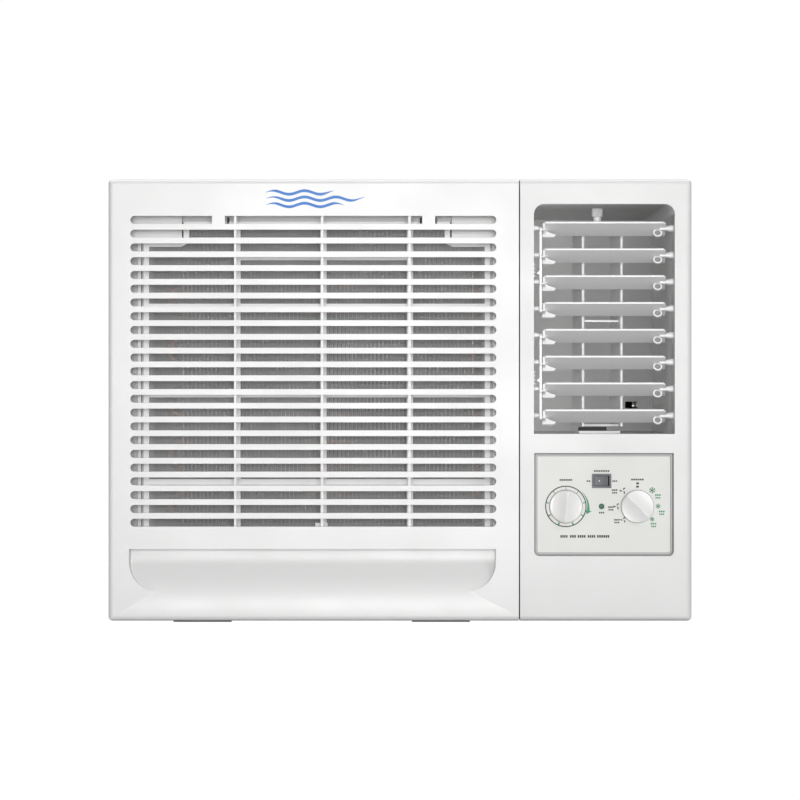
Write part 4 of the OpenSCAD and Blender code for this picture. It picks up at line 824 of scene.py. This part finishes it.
def printed_rules(shape):
    """Plain rules in the places of the printed words."""
    left, right = knob_centre("thermostat_turn"), knob_centre("selector_turn")
    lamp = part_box("run_lamp")
    middle = ((lamp[0][0] + lamp[1][0]) / 2, left[1])
    word_rule(shape, beside(left, THERMOSTAT_TITLE), TITLE_WIDTH, 6, TITLE_HEIGHT)
    word_rule(shape, beside(right, SELECTOR_TITLE), TITLE_WIDTH, 6, TITLE_HEIGHT)
    word_rule(shape, beside(middle, SWITCH_TITLE), SWITCH_TITLE_WIDTH, 7)
    word_rule(shape, beside(middle, LAMP_WORD), LAMP_WORD_WIDTH, 3)
    word_rule(shape, beside(middle, SWITCH_LEFT), LEFT_WORD_WIDTH, 2)
    word_rule(shape, beside(middle, SWITCH_RIGHT), RIGHT_WORD_WIDTH, 3)
    for start, end in FOOT_WORDS:
        place = beside(left, ((start + end) / 2, -FOOT_DROP))
        word_rule(shape, place, (end - start) * MM, int((end - start) / FOOT_CELL), FOOT_HEIGHT)
    for offset in FAN_WORDS:
        two_lines(shape, right, offset)


def cold_rules(shape):
    """The rules beside the snowflakes."""
    for offset in COLD_WORDS:
        two_lines(shape, knob_centre("selector_turn"), offset)


# ---- Painted shade in the gap around the control plate -----------------------------------------------

RIM_CORNER = 4.8 * MM
RIM_STEPS = 10
# Strips between two insets from the plate's outline, in millimetres: painted shadow lines at the gap's edges, and
# a band of painted shade in the groove between them.
GAP_SHADOW_STRIPS = ((0.0, 0.8), (2.2, 2.6))
GROOVE_SHADE_STRIP = (0.8, 2.2)


def plate_outline(inset):
    """The plate's outline, inset by a distance, with square upper and round lower corners."""
    left, right = plate_low[0] + inset, plate_high[0] - inset
    low, high = plate_low[2] + inset, plate_high[2] - inset
    radius = RIM_CORNER - inset
    turns = [math.pi / 2 * i / RIM_STEPS for i in range(RIM_STEPS + 1)]
    around_left = [(left + radius * (1 - math.cos(t)), low + radius * (1 - math.sin(t))) for t in turns]
    around_right = [(right - radius * (1 - math.sin(t)), low + radius * (1 - math.cos(t))) for t in turns]
    return [(left, high)] + around_left + around_right + [(right, high)]


def painted_shade_strips(bands):
    """Flat strips of painted shadow and shade around the plate, each between two insets in millimetres."""
    def build(shape):
        for near, far in bands:
            outer, inner = plate_outline(near * MM), plate_outline(far * MM)
            count = len(outer)
            for i in range(count):
                n = (i + 1) % count
                prism(shape, [outer[i], outer[n], inner[n], inner[i]], ink_face, ink_back)
    return build


# ---- Emblem on the grille ---------------------------------------------------------------------------

WAVE_LENGTHS = (76 * MM, 96 * MM, 66 * MM)
WAVE_PERIOD = 30 * MM
WAVE_SPACING = 6.0 * MM
WAVE_SWING = 1.7 * MM
WAVE_THICKNESS = 1.35 * MM
WAVE_TIP = 0.05 * MM
WAVE_STEPS = 60
WAVE_TAPER = 6
WAVE_INSET = 151 * MM
WAVE_DROP = 25 * MM
WAVE_FACE, WAVE_BACK = 0.08 * MM, 0.02 * MM


def emblem(shape):
    """Three level waves of air, a plain mark of no maker."""
    left = grille_low[0] + WAVE_INSET
    base = grille_high[2] - WAVE_DROP
    for wave, length in enumerate(WAVE_LENGTHS):
        upper, lower = [], []
        for i in range(WAVE_STEPS + 1):
            share = i / WAVE_STEPS
            swing = WAVE_SWING * math.sin(2 * math.pi * share * length / WAVE_PERIOD)
            z = base + wave * WAVE_SPACING + swing
            taper = min(1.0, WAVE_TAPER * share, WAVE_TAPER * (1 - share))
            thick = WAVE_THICKNESS * taper + WAVE_TIP
            upper.append((left + length * share, z + thick))
            lower.append((left + length * share, z - thick))
        prism(shape, upper + lower[::-1], grille_low[1] - WAVE_FACE, grille_low[1] + WAVE_BACK)


# ---- Collars of the louvre pins ------------------------------------------------------------------------

COLLAR_RADIUS = 3.3 * MM
COLLAR_STEP = 0.6 * MM
COLLAR_SHARE = 0.7
COLLAR_SIDES = 28
LEFT_COLLAR = 4.6 * MM
RIGHT_COLLAR = 8.0 * MM


def pin_collars(shape):
    """A stepped collar on each cheek of the outlet, around every louvre pin."""
    for name, joint in joints.items():
        if not name.startswith("louver_"):
            continue
        y, z = joint["pos_m"][1:]
        for wall, length in ((duct_left, LEFT_COLLAR), (duct_right, -RIGHT_COLLAR)):
            start, step, end = (wall, y, z), (wall + length * COLLAR_SHARE, y, z), (wall + length, y, z)
            tube(shape, start, step, COLLAR_RADIUS, COLLAR_SIDES)
            tube(shape, start, end, COLLAR_RADIUS - COLLAR_STEP, COLLAR_SIDES)


# ---- Small details ------------------------------------------------------------------------------------

DOME_ROWS = 8
DOME_SPOKES = 40
DOME_RISE = 0.55 * MM
DOT_RADIUS = 0.55 * MM
DOT_PLACE = 0.36
DOT_SIDES = 20
DOT_FACE, DOT_BACK = 0.35 * MM, 1.4 * MM


def lamp_dome(shape):
    """The lamp's low domed lens and the body behind it."""
    low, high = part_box("run_lamp")
    x, z = (low[0] + high[0]) / 2, (low[2] + high[2]) / 2
    radius = (high[0] - low[0]) / 2
    turns = [2 * math.pi * s / DOME_SPOKES for s in range(DOME_SPOKES)]
    tip = shape.verts.new((x, low[1], z))
    loops = []
    for r in range(1, DOME_ROWS + 1):
        lean = math.pi / 2 * r / DOME_ROWS
        reach, y = radius * math.sin(lean), low[1] + DOME_RISE * (1 - math.cos(lean))
        loops.append([shape.verts.new((x + reach * math.sin(t), y, z + reach * math.cos(t))) for t in turns])
    loops.append([shape.verts.new((v.co.x, high[1], v.co.z)) for v in loops[-1]])
    for s in range(DOME_SPOKES):
        shape.faces.new((tip, loops[0][s], loops[0][(s + 1) % DOME_SPOKES]))
    skin(shape, loops)
    shape.faces.new(loops[-1])


def rocker_dot(shape):
    """The small white dot on the rocker's face."""
    low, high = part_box("swing_rocker")
    centre = (low[0] + (high[0] - low[0]) * DOT_PLACE, (low[2] + high[2]) / 2)
    outline = [around(centre, DOT_RADIUS, 90 - 360 * i / DOT_SIDES) for i in range(DOT_SIDES)]
    prism(shape, outline, low[1] + DOT_FACE, low[1] + DOT_BACK)


def stage_floor():
    """A wide level floor that only the light sees."""
    shape = bmesh.new()
    half = FLOOR_HALF_WIDTH
    corners = [(-half, -half, 0), (half, -half, 0), (half, half, 0), (-half, half, 0)]
    shape.faces.new([shape.verts.new(corner) for corner in corners])
    mesh = bpy.data.meshes.new("studio_floor")
    shape.to_mesh(mesh)
    shape.free()
    mesh.materials.append(FLOOR)
    floor = bpy.data.objects.new("studio_floor", mesh)
    bpy.context.collection.objects.link(floor)
    floor.visible_camera = False


# ---- The whole object -----------------------------------------------------------------------------------

def make_air_parts():
    """The filter's net and both coils."""
    net = add_piece("filter_net", weave_net, MATERIALS["filter_net"], "chassis", smooth=False)
    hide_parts("filter_mesh")
    for coil in ("evaporator", "condenser"):
        fins = add_piece(coil + "_fin_pack", stack_fins(coil + "_fins"), MATERIALS["fin_aluminium"],
                         "chassis", smooth=False)
        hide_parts(coil + "_fins")
        add_piece(coil + "_hairpins", run_tubes(coil + "_fins"), MATERIALS["copper"], "chassis")


def make_knobs():
    """Both knobs, each a cap with a shaft behind it."""
    for node, degrees in RIDGE_TURNS:
        knob = add_piece(node + "_cap", carve_knob(node, math.radians(degrees)),
                         MATERIALS["knob_plastic"], node)
        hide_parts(node)
        add_piece(node + "_shaft", knob_stem(node), MATERIALS["bare_steel"], node)


def make_prints():
    """The printing on the control plate and the strips of painted shadow and shade around it."""
    for name, maker, ink in (
            ("thermostat_ring", thermostat_ring, BLACK_PRINT),
            ("thermostat_ticks", thermostat_ticks, GREEN_PRINT),
            ("colder_arrow", colder_arrow, GREEN_PRINT),
            ("cold_marks", selector_marks_cold, GREEN_PRINT),
            ("fan_marks", selector_marks_fan, BLACK_PRINT),
            ("selector_ring", selector_ring, GREY_PRINT),
            ("printed_rules", printed_rules, BLACK_PRINT),
            ("cold_rules", cold_rules, GREEN_PRINT)):
        add_piece(name, maker, ink, "chassis", smooth=False)
    # Painted shadow and painted shade around the plate, not print.
    add_piece("plate_gap_shadow_lines", painted_shade_strips(GAP_SHADOW_STRIPS), PAINTED_GAP_SHADOW, "chassis", smooth=False)
    add_piece("plate_groove_shade_band", painted_shade_strips((GROOVE_SHADE_STRIP,)), PAINTED_GROOVE_SHADE, "chassis", smooth=False)


def make_small_details():
    """Collars, emblem, lamp lens and the rocker's dot."""
    add_piece("louver_pin_collars", pin_collars, MATERIALS["louver_plastic"], "chassis",
              smooth=False)
    add_piece("grille_emblem", emblem, BLUE_PRINT, "grille", smooth=False)
    dome = add_piece("run_lamp_dome", lamp_dome, MATERIALS["lamp_lens"], "chassis")
    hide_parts("run_lamp")
    add_piece("rocker_dot", rocker_dot, WHITE_DOT, "rocker", smooth=False)


set_camera()
set_lights()
stage_floor()
dress_cad_nodes()
make_air_parts()
make_knobs()
make_prints()
make_small_details()
